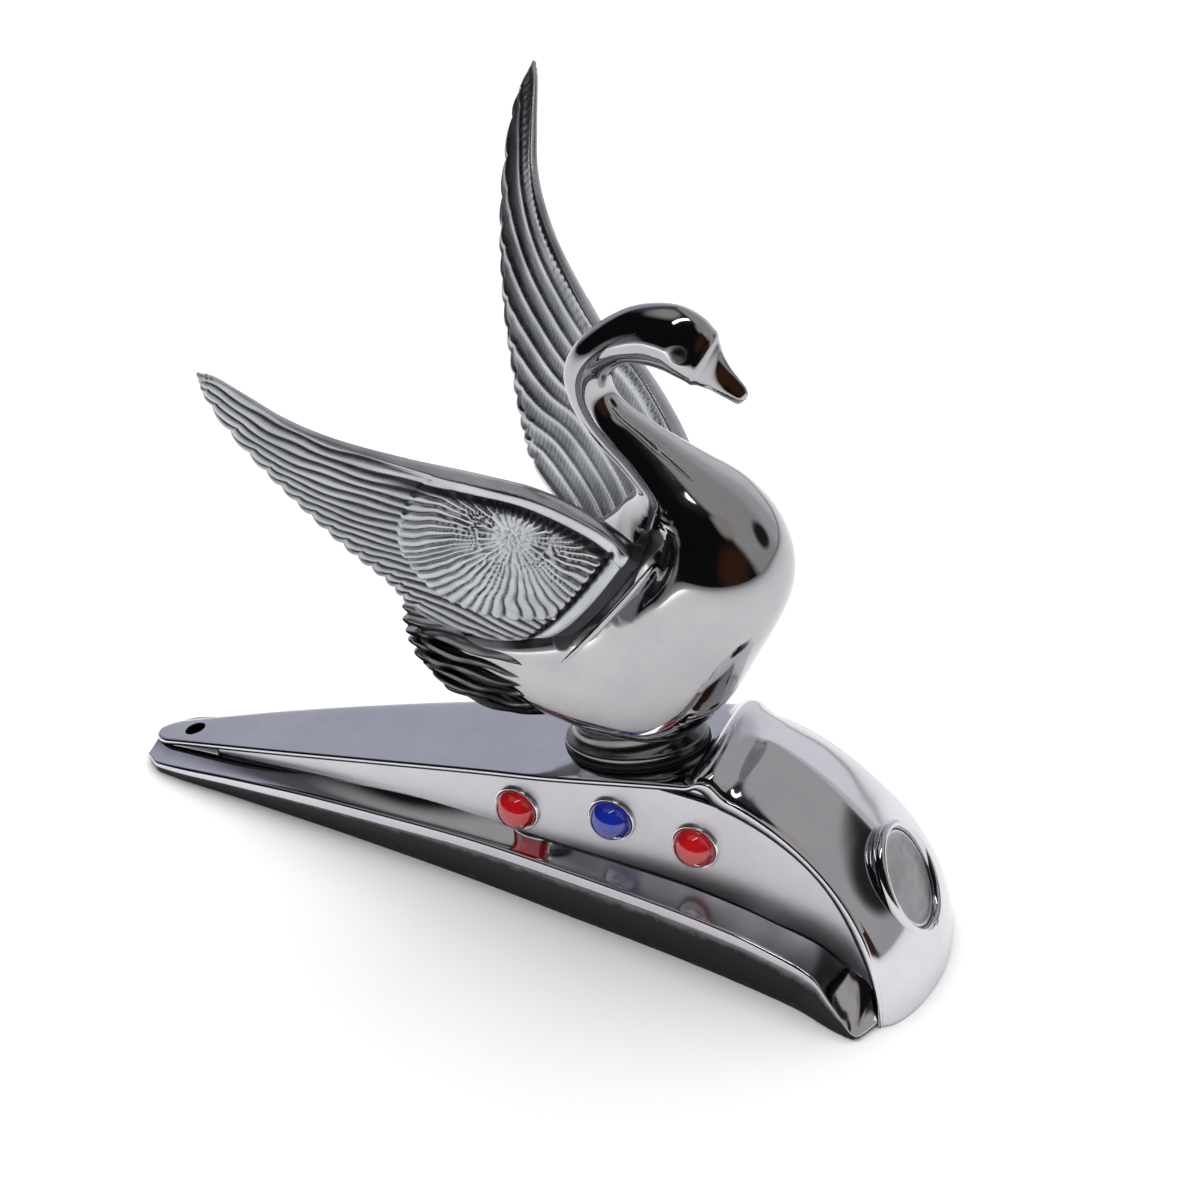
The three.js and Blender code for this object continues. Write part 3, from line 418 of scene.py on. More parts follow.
def base_shape():
    """Deck with its pockets, both side walls and shelves, and the raised rim round the medallion."""
    shape = Shape()
    shape.tube(*shelf_rows())
    shape.tube(wall_rows())
    shape.mirror()
    deck, hole_shade = sink_screw_hole(sink_medallion(deck_rows()))
    shape.tube(deck, np.maximum(hole_shade, edge_shade(deck)))
    turn = np.linspace(0, 2 * math.pi, 160, endpoint=False)
    section = np.linspace(0, 2 * math.pi, 24, endpoint=False)
    rim = np.zeros((len(turn), len(section), 3))
    swell = np.cos(section)[None, :]
    reach = RIM_HALF_WIDTH + RIM_HALF_WIDTH * swell
    rim[..., 0] = (MEDAL_LONG + reach) * np.cos(turn)[:, None]
    rim[..., 1] = (MEDAL_WIDE + reach) * np.sin(turn)[:, None]
    rim[..., 2] = RIM_MIDDLE + RIM_SWELL * np.sin(section)[None, :]
    return shape.join(Shape().ring(rim).placed(medal_place()))


# ------------------------------------------------------------------ side panels and jewels

JEWELS = (("rear", 3.9, 34.0), ("middle", 34.0, 41.0), ("front", 59.8, 40.0))
JEWEL_RADIUS, JEWEL_DOME, JEWEL_SEAT = 6.4, 5.8, 0.44
SHANK_RADIUS, SHANK_LENGTH = 1.4, 8.5
BEZEL_RADIUS, BEZEL_HALF_WIDTH, BEZEL_HALF_HEIGHT = 7.2, 0.42, 0.62


def panel_shape():
    """Left side panel: a thin strip that fills the space between the shelf and the deck's edge."""
    rows = []
    for x in np.concatenate([np.linspace(-104, 60, 90), np.linspace(61, PANEL_TIP, 70)]):
        reach = max(x - HOOD_X, 0)
        angle = math.degrees(math.asin(min(reach / HOOD_MEAN_LIP, 1)))
        under = math.sqrt(max((float(hood_lip(angle)) - 0.25) ** 2 - reach ** 2, 0))
        bottom = float(shelf_inner(x)) + 0.3
        top = max(min(under, float(plate_height(x)) - EDGE_HEIGHT - 0.25), bottom + 0.4)
        back = float(half_width(x)) - POCKET_DEPTH + PANEL_BACK_GAP
        front = back + PANEL_THICKNESS
        share = np.linspace(0, 1, 10)
        face = [(front + 0.12 * math.sin(math.pi * s), bottom + (top - bottom) * s) for s in share]
        rows.append([(x, y, z) for y, z in face + [(back, top), (back, bottom)]])
    return Shape().tube(np.array(rows))


def panel_place(side, x, z):
    """Turn and shift onto a side panel's face: local Z points out of it."""
    slope = float(half_width(x + 0.5) - half_width(x - 0.5))
    along = unit(np.array([1, side * slope, 0.0]))
    out = unit(np.array([-slope, side, 0.0]))
    up = np.cross(out, along)
    y = side * (float(half_width(x)) - POCKET_DEPTH + PANEL_BACK_GAP + PANEL_THICKNESS)
    return [along, up, out], np.array([x, y, z])


def jewel_shape():
    """Domed glass button with the shank that its nut grips."""
    turn = np.linspace(0, math.pi / 2, 22)
    dome = [(JEWEL_RADIUS * math.cos(a), JEWEL_SEAT + JEWEL_DOME * math.sin(a)) for a in turn[:-1]]
    stem = [(SHANK_RADIUS, -SHANK_LENGTH), (SHANK_RADIUS, 0.1), (SHANK_RADIUS + 0.2, 0.3),
            (JEWEL_RADIUS - 0.2, 0.3), (JEWEL_RADIUS, 0.4)]
    return Shape().tube(lathe(stem + dome + [(0.12, JEWEL_SEAT + JEWEL_DOME)], 72))


def bezel_shape():
    """Round bead that frames a jewel."""
    section = np.linspace(0, 2 * math.pi, 20, endpoint=False)
    middle = (JEWEL_RADIUS + BEZEL_RADIUS) / 2 + 0.06
    outline = [(middle + BEZEL_HALF_WIDTH * math.cos(a), BEZEL_HALF_HEIGHT * (1 + math.sin(a)))
               for a in section]
    rows = np.transpose(lathe(outline, 96), (1, 0, 2))
    return Shape().ring(rows)


def medallion_shape():
    """Shallow oval with a raised border, coloured darker inside it."""
    share = np.linspace(0, 1, 30)
    outline = [(1.0, 0.3), (1.0, 1.3)] + [(1 - s, 1.45 - 0.35 * float(ease(0.03, 0.16, s)) + 0.5 * float(
        ease(0.1, 1.0, s))) for s in share[1:-1]] + [(0.004, 1.6)]
    rows = lathe([(0.3, 0.3)] + outline, 120)
    rows[..., 0] *= MEDAL_LONG - MEDAL_GAP
    rows[..., 1] *= MEDAL_WIDE - MEDAL_GAP
    shade = np.zeros(rows.shape[:2])
    # The face inside the border is coloured darker.
    shade[4:] = MEDAL_DARKENING
    return Shape().tube(rows, shade).placed(medal_place())


# ------------------------------------------------------------------ swan

# One row per section: upper point (x, z), lower point (x, z), half width, how much narrower on top
SECTIONS = [
    (-26, 97, -27, 92, 9, 0.0), (-20, 101, -23, 83, 18, 0.05), (-9, 107, -13, 75, 23, 0.1),
    (3, 113.5, 0, 70, 25.3, 0.14), (13, 120, 14, 66, 26.2, 0.16), (21, 127, 29, 63.6, 26.5, 0.18),
    (26.5, 133, 46.6, 64.8, 26.5, 0.18), (30, 138, 59.8, 76.6, 26, 0.16),
    (32.5, 141.5, 69.8, 98, 24.5, 0.12),
    (33.6, 144, 77, 118.5, 21.6, 0.08), (33.6, 146, 75, 133.4, 18, 0.05),
    (32.4, 147.6, 66.6, 144.8, 14.3, 0.04), (30, 149.4, 54, 151.9, 11.5, 0.03),
    (26.5, 151.8, 44.4, 157, 9.3, 0.02), (22, 155, 35.4, 161.8, 7.7, 0),
    (17.3, 160.2, 28.6, 166, 6.8, 0), (13.6, 166.8, 25.4, 171, 6.4, 0), (12.2, 174.2, 26, 176, 6.3, 0.03),
    (15, 182, 28.6, 179.2, 6.4, 0.08), (21.6, 189.6, 32.6, 181.4, 6.5, 0.13),
    (29, 195.4, 37.4, 181.6, 6.7, 0.18),
    (36.4, 198.4, 41.8, 181.2, 7.2, 0.22), (43.8, 199.2, 45.6, 180.2, 7.6, 0.28),
    (50.2, 197, 48.8, 179.2, 7.2, 0.32),
    (54.2, 192.8, 51.4, 178.4, 5.9, 0.36), (56.2, 188.2, 53.4, 177.8, 4.4, 0.4),
    (58.2, 185, 56, 176.7, 3.6, 0.45), (60.4, 182.6, 58.8, 175.7, 3, 0.5),
    (62.6, 180.2, 61.2, 175.2, 2.3, 0.5), (63.4, 178.5, 62.9, 176.3, 0.9, 0.3),
]


def swan_rows(count=400, around=160):
    """Section loops of the trunk, neck, head and beak, from the tail to the beak's tip."""
    table = curve(SECTIONS)
    place = np.linspace(0, 1, count)
    row = table(place)
    upper = np.stack([row[:, 0], np.zeros(count), row[:, 1]], -1)
    lower = np.stack([row[:, 2], np.zeros(count), row[:, 3]], -1)
    middle, arm = (upper + lower) / 2, (upper - lower) / 2
    turn = np.linspace(0, 2 * math.pi, around, endpoint=False)
    wide = row[:, 4:5] * np.cos(turn) * (1 - row[:, 5:6] * np.sin(turn))
    rows = middle[:, None] + arm[:, None] * np.sin(turn)[None, :, None]
    rows[..., 1] += wide
    return rows


HOLLOW = curve([(37, 152), (42, 147.5), (46.6, 142), (47, 137), (45, 129), (40, 120), (33, 111)])
HOLLOW_DEPTH = 2.6


def head_relief(rows):
    """Eye socket, gape line, the step where the beak leaves the face, and the hollow in front of each wing.
    """
    x, y, z = rows[..., 0], rows[..., 1], rows[..., 2]
    normal = unit(np.cross(np.gradient(rows, axis=0), np.roll(rows, -1, 1) - np.roll(rows, 1, 1)))
    outward = np.sign((normal[..., 1] * y).sum()) or 1
    normal = normal * outward
    side = ease(1.5, 3.5, np.abs(y))
    face_line = 51.2 + (z - 184.8) * 0.34
    step = -0.35 * ease(0, 1.6, x - face_line) * ease(174.8, 176.8, z)
    seam = 0.25 * bell(x - face_line, -0.6, 0.9) * ease(174.8, 176.8, z)
    socket = -0.3 * bell(np.hypot((x - 46.6) * 0.9, (z - 189.6) * 1.1), 1.6, 1.4) * side
    gape_height = 179.7 - (x - 55) * 0.42
    gape = -0.4 * bell(z - gape_height, 0, 0.38) * ease(52.5, 54, x) * ease(0.6, 1.4, np.abs(y))
    depth = np.where(x > 38, step + seam + socket + gape, 0)
    centre = HOLLOW(np.linspace(0, 1, 80))
    away = np.hypot(x[..., None] - centre[:, 0], z[..., None] - centre[:, 1])
    nearest = away.argmin(-1) / 79
    hollow = -HOLLOW_DEPTH * bell(away.min(-1), 0, 4.2) * ease(0.15, 0.55, nearest) * ease(1, 0.6, nearest)
    depth = depth + hollow * ease(6, 12, np.abs(y)) * (z < 160)
    return rows + normal * depth[..., None]


EYE_X, EYE_Z = 46.6, 189.6
WING_ROOT = curve([(44.5, 138.5), (38.6, 130), (32, 119.6), (26.5, 111), (21, 103.5)])


def root_shade(rows):
    """Painted shade between the wing's root and the bead beside it, and in the eye socket."""
    line = WING_ROOT(np.linspace(0, 1, 80))
    away = np.hypot(rows[..., 0][..., None] - line[:, 0], rows[..., 2][..., None] - line[:, 1]).min(-1)
    eye = np.hypot(rows[..., 0] - EYE_X, rows[..., 2] - EYE_Z)
    return (1.2 * ease(3.4, 1.6, away) * ease(10, 14, np.abs(rows[..., 1]))
            + 0.9 * ease(3.2, 1.2, eye) * ease(2, 4, np.abs(rows[..., 1])))


def trunk_half_width(x, z):
    """Distance of the trunk's skin from the middle plane at a place seen from the side."""
    table = curve(SECTIONS)(np.linspace(0, 0.42, 200))
    best = np.zeros(np.shape(x))
    for upper_x, upper_z, lower_x, lower_z, wide, egg in table:
        arm = np.array([upper_x - lower_x, upper_z - lower_z]) / 2
        middle = np.array([upper_x + lower_x, upper_z + lower_z]) / 2
        length = np.hypot(*arm)
        along = ((x - middle[0]) * arm[0] + (z - middle[1]) * arm[1]) / length ** 2
        off = np.abs((x - middle[0]) * arm[1] - (z - middle[1]) * arm[0]) / length
        found = wide * np.sqrt(np.clip(1 - along ** 2, 0, 1)) * (1 - egg * along)
        best = np.maximum(best, np.where(off < 0.8, found, 0))
    return best


def tail_rows(row):
    """One row of tail feathers: a thin lens whose rear edge is scalloped, front end inside the trunk."""
    reach = (-32.8, -32.8, -31.6, -29.6, -27.0, -23.2, -17.5)[row]
    height = (96.0, 92.0, 88.0, 84.0, 80.0, 76.6, 73.6)[row]
    wide = (27.0, 27.4, 27.6, 27.2, 26.2, 24.6, 22.4)[row]
    droop = 0.012 * row
    front = 26.0 - row
    u = np.linspace(0, 1, 120)
    v = np.concatenate([np.linspace(-1, 1, 90), np.linspace(1, -1, 50)[1:-1]])
    top = np.concatenate([np.ones(90), -np.ones(48)])
    length = front - reach
    plan = np.clip(1 - (1 - u) ** 4, 0, 1) ** 0.25
    rows = np.zeros((len(u), len(v), 3))
    spread = plan[:, None] * v
    sink = 1 - 0.26 * ease(0.64, 1, u)[:, None]
    feathers = 13 - row
    phase = spread * feathers / 2 + 0.5 * (row % 2)
    scallop = np.abs(np.cos(math.pi * phase))
    tip = ease(0.5, 0, u)[:, None]
    rows[..., 0] = reach + length * u[:, None] - 1.6 * tip * (scallop - 0.6)
    rows[..., 1] = wide * spread * sink * (1 + 0.02 * np.cos(2 * math.pi * phase) * tip)
    thick = 1.7 * np.clip(1 - v ** 2, 0, 1)[None] ** 0.5 * np.clip(1 - (1 - u) ** 5, 0, 1)[:, None] ** 0.5
    bow = -2.6 * spread ** 2 + 0.5 * np.sin(rows[..., 0] / 3.1 + row * 2)
    ridges = 0.7 * (scallop - 0.5) * plan[:, None] * (1 - spread ** 2)
    rows[..., 2] = (height + droop * (rows[..., 0] + 10) + bow + thick * top + ridges * (top > 0))
    # Painted shade in the valleys between the scallops and on the feathers' undersides.
    shade = np.clip(0.1 + 1.1 * np.clip(1 - scallop * 1.7, 0, 1), 0, 1) * (top > 0) + 0.9 * (top < 0)
    return rows, shade


def swan_shape():
    """Trunk, neck and head, with tail feathers, eyes and the bead in front of each wing."""
    shape = Shape()
    skin = head_relief(swan_rows())
    shape.tube(skin, root_shade(skin))
    for row in range(7):
        rows, shade = tail_rows(row)
        shape.tube(rows, shade)
    for side in (-1, 1):
        eye = Shape().tube(lathe([(math.cos(a), math.sin(a)) for a in np.linspace(-1.5, 1.5, 16)], 28))
        turn = [(1, 0, 0), (0, 0, 1), (0, side, 0)]
        # The eye bead gets full painted shade, darkening the socket.
        shape.join(eye.placed((turn, (EYE_X, side * 5.5, EYE_Z))), shade=1.0)
        line = curve([(45.5, 132.5), (42, 126.5), (38, 120), (31.6, 110.4), (25, 101.4), (20, 95)])(
            np.linspace(0, 1, 60))
        y = side * (trunk_half_width(line[:, 0], line[:, 1]) - 0.5)
        path = np.stack([line[:, 0], y, line[:, 1]], -1)
        shape.tube(bead(path, lambda step: 0.1 + 0.95 * np.sin(math.pi * step) ** 0.5))
    return shape


# ------------------------------------------------------------------ wings

LEADING = curve([(40.5, 20.8, 138), (32.2, 26.5, 148), (19.5, 34, 157.6), (6.6, 39.8, 162.2),
                 (-7.5, 51, 170.1), (-20.6, 63, 179.6), (-28.7, 72.9, 189.2), (-32.8, 81.8, 199.2),
                 (-36.2, 90.6, 209), (-38.4, 94.4, 212.3)])
TRAILING = curve([(19, 24.5, 105.5), (3, 30.5, 103.5), (-14, 38, 112.5), (-21, 43, 124.5), (-27.5, 51, 138),
                  (-34, 60, 154), (-39.5, 71, 173), (-42, 80.5, 189), (-42, 88, 202), (-39, 95, 212.3)])
DISC = np.array((12.5, 34.0, 145.0))
DISC_RADIUS = 29.5
DISC_RAYS = 54
ROOT_INSET = 2.5
ROOT_THICKNESS, TIP_THICKNESS = 5.4, 1.8
FEATHER_PITCH, FIRST_FEATHER, FEATHER_PHASE = 3.15, 5.6, 0.2
RIB_PITCH = 6.2


def ridge(phase, sharp):
    """Rounded ridges with narrow valleys, one per unit of phase, from 0 in a valley to 1 on a crest."""
    return np.abs(np.sin(math.pi * phase)) ** sharp


def wing_shape():
    """Left wing: a closed sheet with feather relief on both faces."""
    places = np.concatenate([np.linspace(0, 0.5, 190), np.linspace(0.5, 1, 130)[1:]])
    spread = np.linspace(0, 1, 118)
    outer_s = np.clip(spread - 0.035 * np.sin(2 * math.pi * spread), 0, 1)
    inner_s = outer_s[::-1][1:-1]
    share = np.concatenate([outer_s, inner_s])
    face = np.concatenate([np.ones(len(outer_s)), -np.ones(len(inner_s))])

    lead, trail = LEADING(places), TRAILING(places)
    chord = trail - lead
    length = np.linalg.norm(chord, axis=-1)
    span = unit(np.gradient(lead, axis=0) + np.gradient(trail, axis=0))
    outward = unit(np.cross(chord, span))
    t = places[:, None]
    s = share[None, :]
    from_lead = s * length[:, None]
    from_trail = (1 - s) * length[:, None]
    thick = ROOT_THICKNESS + (TIP_THICKNESS - ROOT_THICKNESS) * t ** 0.7
    camber = 3 * (1 - t) * 4 * s * (1 - s)
    profile = 0.35 + 0.65 * np.sqrt(np.clip(1 - (s * 1.6 - 0.5) ** 2, 0, 1))
    nearest = np.minimum(from_lead, from_trail)
    edge = np.sqrt(np.clip(1 - (1 - np.clip(nearest / 1.1, 0, 1)) ** 2, 0.0, 1))
    surface = lead[:, None] + chord[:, None] * s[..., None]

    middle_line = (lead + trail) / 2
    run = np.concatenate([[0], np.cumsum(np.linalg.norm(np.diff(middle_line, axis=0), axis=-1))])[:, None]
    offset = surface - DISC
    hub = np.linalg.norm(offset, axis=-1).min(-1).argmin()
    across_disc = unit(chord[hub])
    along_disc = unit(span[hub] - across_disc * (span[hub] @ across_disc))
    along, down = offset @ along_disc, offset @ across_disc
    radius = np.hypot(along, down)
    angle = np.arctan2(down, along)

    wobble = 0.5 * np.sin(run / 5.3 + from_lead / 2.1) + 0.35 * np.sin(run / 2.9 - from_lead / 3.3)
    vane = ridge((from_lead - FIRST_FEATHER + wobble * 0.5) / FEATHER_PITCH + FEATHER_PHASE, 0.9)
    rays = DISC_RAYS * angle / (2 * math.pi) + 0.22 * np.sin(angle * 7) + 0.1 * np.sin(angle * 13 + 1)
    rays = rays + 0.16 * np.sin(radius / 2.9 + angle * 3) + 0.05 * np.sin(radius / 1.1)
    petal = np.where(radius > 9, ridge(rays, 0.9), ridge(rays / 2, 0.9))
    bumps = ridge(radius / 2.2 + 0.4 * np.sin(angle * 5), 0.8) * ridge(angle * 9 / math.pi, 0.7)
    core = ease(8, 2, radius)
    disc_height = (1 - core) * petal + core * (0.3 + 0.5 * bumps)
    disc_edge = DISC_RADIUS + 1.7 * ridge(rays, 0.5) - 0.8
    in_disc = ease(0.5, -0.5, radius - disc_edge)
    relief = (1 - in_disc) * (0.95 * vane - 0.75) + in_disc * (0.95 * disc_height - 0.15)
    root = ease(5.4, 4.2, run)
    near_root = ease(78, 46, run)
    rim = ease(5.2, 4.2, from_lead) * near_root
    smooth = np.maximum(root, rim)
    relief = relief * (1 - smooth)
    rim_round = np.sqrt(np.clip(1 - ((from_lead - 2.3) / 2.6) ** 2, 0, 1))
    relief = relief + 1.1 * rim_round * (from_lead < 5) * near_root + 0.9 * bell(run, 2.4, 2.0)
    root_trench = bell(run, 5.4, 0.9) * ease(2, 5, from_lead)
    trench = np.maximum(bell(from_lead, 5.7, 1.3) * near_root * (1 - root), root_trench)
    relief = relief - (1.7 * (1 - root) + 0.7 * root) * trench
    relief = relief * ease(0, 2.2, from_trail) * ease(1.0, 0.93, t)
    # Painted shade in the relief's valleys, in the trench under the leading edge and at the root, with a
    # random mottle of tone.
    valley = np.clip((0.36 + 0.14 * in_disc - relief) * (1 + 0.6 * in_disc), 0, 1) * (1 - smooth)
    mottle = 0.5 + 0.5 * np.sin(run / 3.7 + 2 * np.sin(from_lead / 1.7)) * np.sin(from_lead / 2.3 + run / 9)
    valley = np.maximum(valley, 0.22 * mottle * (1 - smooth))
    valley = np.maximum(np.maximum(valley, 1.2 * trench), 1.2 * ease(1.5, 0.7, run))

    rib_phase = (from_lead - 4 + 1.2 * np.sin(run / 17)) / RIB_PITCH
    rib = bell((rib_phase % 1) - 0.5, 0, 0.22)
    barb = ridge(run / 1.5 + rib_phase * 2.0, 1.0)
    beads = ridge(run / 2.4, 1.0) * bell(from_lead, 3.4, 1.5)
    inner_relief = 0.5 * rib + 0.14 * barb * (1 - rib) + 0.6 * beads - 0.15
    inner_relief = inner_relief * ease(0, 2, from_trail) * ease(1.0, 0.93, t) * ease(0, 3, run)
    # Painted shade between the inner face's ribs, with a random mottle of tone.
    inner_valley = np.clip(0.5 - 0.45 * rib - 0.16 * barb + 0.16 * mottle, 0, 1)

    is_outer = (face > 0)[None, :]
    height = np.where(is_outer, relief, inner_relief) * edge
    lift = camber + face[None, :] * (thick * profile / 2 * edge + height)
    trail_phase = (length - FIRST_FEATHER) / FEATHER_PITCH + FEATHER_PHASE
    scallop = (1.5 * ridge(trail_phase, 0.6) - 0.9) * ease(14, 26, run[:, 0]) * ease(1.0, 0.9, places)
    surface = surface + unit(chord)[:, None] * (scallop[:, None] * ease(9, 0, from_trail))[..., None]
    rows = surface + outward[:, None] * lift[..., None]
    shade = np.where(is_outer, valley, inner_valley)
    let_in = rows[:1] - ROOT_INSET * unit(span[0])
    return Shape().tube(np.concatenate([let_in, rows]), np.concatenate([shade[:1], shade]))


# ------------------------------------------------------------------ pedestal and gaskets

BOLT_X = 34.0
PEDESTAL_LONG, PEDESTAL_WIDE, PEDESTAL_HEIGHT = 22.0, 15.0, 13.5
PEDESTAL_FOOT = 1.6
PEDESTAL_PAINTED_SHADE = 0.5
GASKET_NOSE_X, GASKET_NOSE_WIDTH, GASKET_INSET = 69.3, 28.2, 0.8


def bolt_place():
    """Turn and shift that stand a local shape square on the deck over the mounting bolt."""
    slope = float(plate_height(BOLT_X + 1) - plate_height(BOLT_X - 1)) / 2
    along = unit(np.array([1, 0, slope]))
    up = np.array([-along[2], 0, along[0]])
    return [along, (0, 1, 0), up], np.array([BOLT_X, 0, float(plate_height(BOLT_X))])


def oval_rows(outline):
    """Section loops of the pedestal's oval; outline rows are (height, share of its full size)."""
    rows = lathe([(scale, height) for height, scale in outline], 160)
    rows[..., 0] *= PEDESTAL_LONG
    rows[..., 1] *= PEDESTAL_WIDE
    return rows


def pedestal_shape():
    """Waisted oval foot between the deck and the swan."""
    profile = spline([(0, 1), (0.3, 1.0), (1.4, 1.0), (2.2, 0.975), (2.7, 0.9), (3.6, 0.83), (5.2, 0.785),
                      (7, 0.79), (9, 0.86), (11.5, 0.97), (13.5, 1.05)])
    heights = np.linspace(0.1, PEDESTAL_HEIGHT, 60)
    outline = [(PEDESTAL_FOOT + h, float(profile(h))) for h in heights]
    rows = oval_rows([(PEDESTAL_FOOT, 0.96)] + outline)
    # Painted shade over the whole foot under the swan.
    return Shape().tube(rows, np.full(rows.shape[:2], PEDESTAL_PAINTED_SHADE)).placed(bolt_place())


def pedestal_gasket_shape():
    outline = [(0.3, 1.0), (0.5, 1.012), (0.9, 1.016), (1.25, 1.0), (1.3, 0.98)]
    return Shape().tube(oval_rows(outline)).placed(bolt_place())


def base_gasket_shape():
    """Flat rubber strip under the skirt and the nose."""
    stations = np.concatenate([np.linspace(-129, -122, 8), np.linspace(-118, 114.5, 90)])
    right = [(x, GASKET_INSET - float(skirt_half_width(x) - skirt_tuck(x)) * (0.86 if x < -126 else 1))
             for x in stations]
    nose = [(HOOD_X + GASKET_NOSE_X * math.cos(a) ** 0.25, -GASKET_NOSE_WIDTH * math.sin(a))
            for a in np.radians(np.linspace(72, 0, 24))]
    half = np.array(right + nose)
    path = np.vstack([half, (half * (1, -1))[::-1][1:]])
    ahead = unit(np.roll(path, -1, 0) - np.roll(path, 1, 0))
    inward = np.stack([-ahead[:, 1], ahead[:, 0]], -1)
    loop = np.array([(0, 0.1), (0.1, 0), (3, 0), (3, 1.2), (0.1, 1.2), (0, 1.1)])
    rows = np.zeros((len(path), len(loop), 3))
    rows[..., :2] = path[:, None] + inward[:, None] * loop[None, :, :1]
    rows[..., 2] = loop[:, 1]
    return Shape().ring(rows)


# ------------------------------------------------------------------ materials


def finish(name, **settings):
    """Metal or glass finish with fine procedural variation of colour, gloss and surface, and painted shade
    read from the mesh.
    """
    material = bpy.data.materials.new(name)
    material.use_nodes = True
    nodes, links = material.node_tree.nodes, material.node_tree.links
    shader = nodes["Principled BSDF"]
    get = settings.get

    def node(kind, **values):
        made = nodes.new(kind)
        for key, value in values.items():
            if hasattr(made, key):
                setattr(made, key, value)
            else:
                made.inputs[key.replace("_", " ")].default_value = value
        return made

    place = node("ShaderNodeNewGeometry")
    shader.inputs["Metallic"].default_value = get("metallic", 1.0)
    for socket, value in get("sockets", {}).items():
        shader.inputs[socket].default_value = value

    cloud = node("ShaderNodeTexNoise", Scale=get("cloud_scale", 60.0), Detail=4.0, Roughness=0.6)
    links.new(place.outputs["Position"], cloud.inputs["Vector"])
    tint = node("ShaderNodeValToRGB")
    tint.color_ramp.elements[0].position, tint.color_ramp.elements[1].position = 0.35, 0.7
    tint.color_ramp.elements[0].color = (*get("low"), 1)
    tint.color_ramp.elements[1].color = (*get("high"), 1)
    links.new(cloud.outputs["Fac"], tint.inputs["Fac"])
    colour = tint.outputs["Color"]

    gloss = node("ShaderNodeMapRange")
    gloss.inputs["To Min"].default_value, gloss.inputs["To Max"].default_value = get("rough")
    grime = node("ShaderNodeTexNoise", Scale=240.0, Detail=6.0, Roughness=0.7)
    links.new(place.outputs["Position"], grime.inputs["Vector"])
    links.new(grime.outputs["Fac"], gloss.inputs["Value"])
    roughness = gloss.outputs["Result"]

    # Painted shade: the mesh's attribute, varied by noise, blends the colour towards a dark one and roughens
    # it.
    if get("groove"):
        relief = node("ShaderNodeAttribute", attribute_name="groove")
        noisy_shade = node("ShaderNodeMath", operation="MULTIPLY_ADD")
        links.new(relief.outputs["Fac"], noisy_shade.inputs[0])
        links.new(grime.outputs["Fac"], noisy_shade.inputs[1])
        links.new(relief.outputs["Fac"], noisy_shade.inputs[2])
        shade_weight = node("ShaderNodeMapRange")
        shade_weight.inputs["From Min"].default_value, shade_weight.inputs["From Max"].default_value = 0.15, 1.25
        links.new(noisy_shade.outputs["Value"], shade_weight.inputs["Value"])
        shade_mix = node("ShaderNodeMix", data_type="RGBA")
        shade_mix.inputs["B"].default_value = (*get("groove"), 1)
        links.new(shade_weight.outputs["Result"], shade_mix.inputs["Factor"])
        links.new(colour, shade_mix.inputs["A"])
        colour = shade_mix.outputs["Result"]
        dull = node("ShaderNodeMath", operation="MULTIPLY_ADD")
        dull.inputs[1].default_value = get("groove_rough", 0.3)
        links.new(shade_weight.outputs["Result"], dull.inputs[0])
        links.new(roughness, dull.inputs[2])
        roughness = dull.outputs["Value"]

    if get("facing"):
        weight = node("ShaderNodeLayerWeight", Blend=0.35)
        rim = node("ShaderNodeMix", data_type="RGBA")
        rim.inputs["B"].default_value = (*get("facing"), 1)
        links.new(weight.outputs["Facing"], rim.inputs["Factor"])
        links.new(colour, rim.inputs["A"])
        colour = rim.outputs["Result"]

    links.new(colour, shader.inputs["Base Color"])
    links.new(roughness, shader.inputs["Roughness"])
    wave = node("ShaderNodeTexNoise", Scale=35.0, Detail=1.5)
    links.new(place.outputs["Position"], wave.inputs["Vector"])
    bump = node("ShaderNodeBump", Strength=get("bump", 0.04), Distance=0.0006)
    links.new(wave.outputs["Fac"], bump.inputs["Height"])
    fine = node("ShaderNodeBump", Strength=get("fine", 0.02), Distance=0.0001)
    links.new(grime.outputs["Fac"], fine.inputs["Height"])
    links.new(bump.outputs["Normal"], fine.inputs["Normal"])
    links.new(fine.outputs["Normal"], shader.inputs["Normal"])
    return material


def jewel_finish(name, deep, bright):
    return finish(name, metallic=0.0, low=bright, high=bright, facing=deep, rough=(0.02, 0.05),
                  bump=0.0, fine=0.005,
                  sockets={"IOR": 1.55, "Coat Weight": 1.0, "Coat Roughness": 0.02,
                           "Subsurface Weight": 0.15, "Subsurface Scale": 0.002})


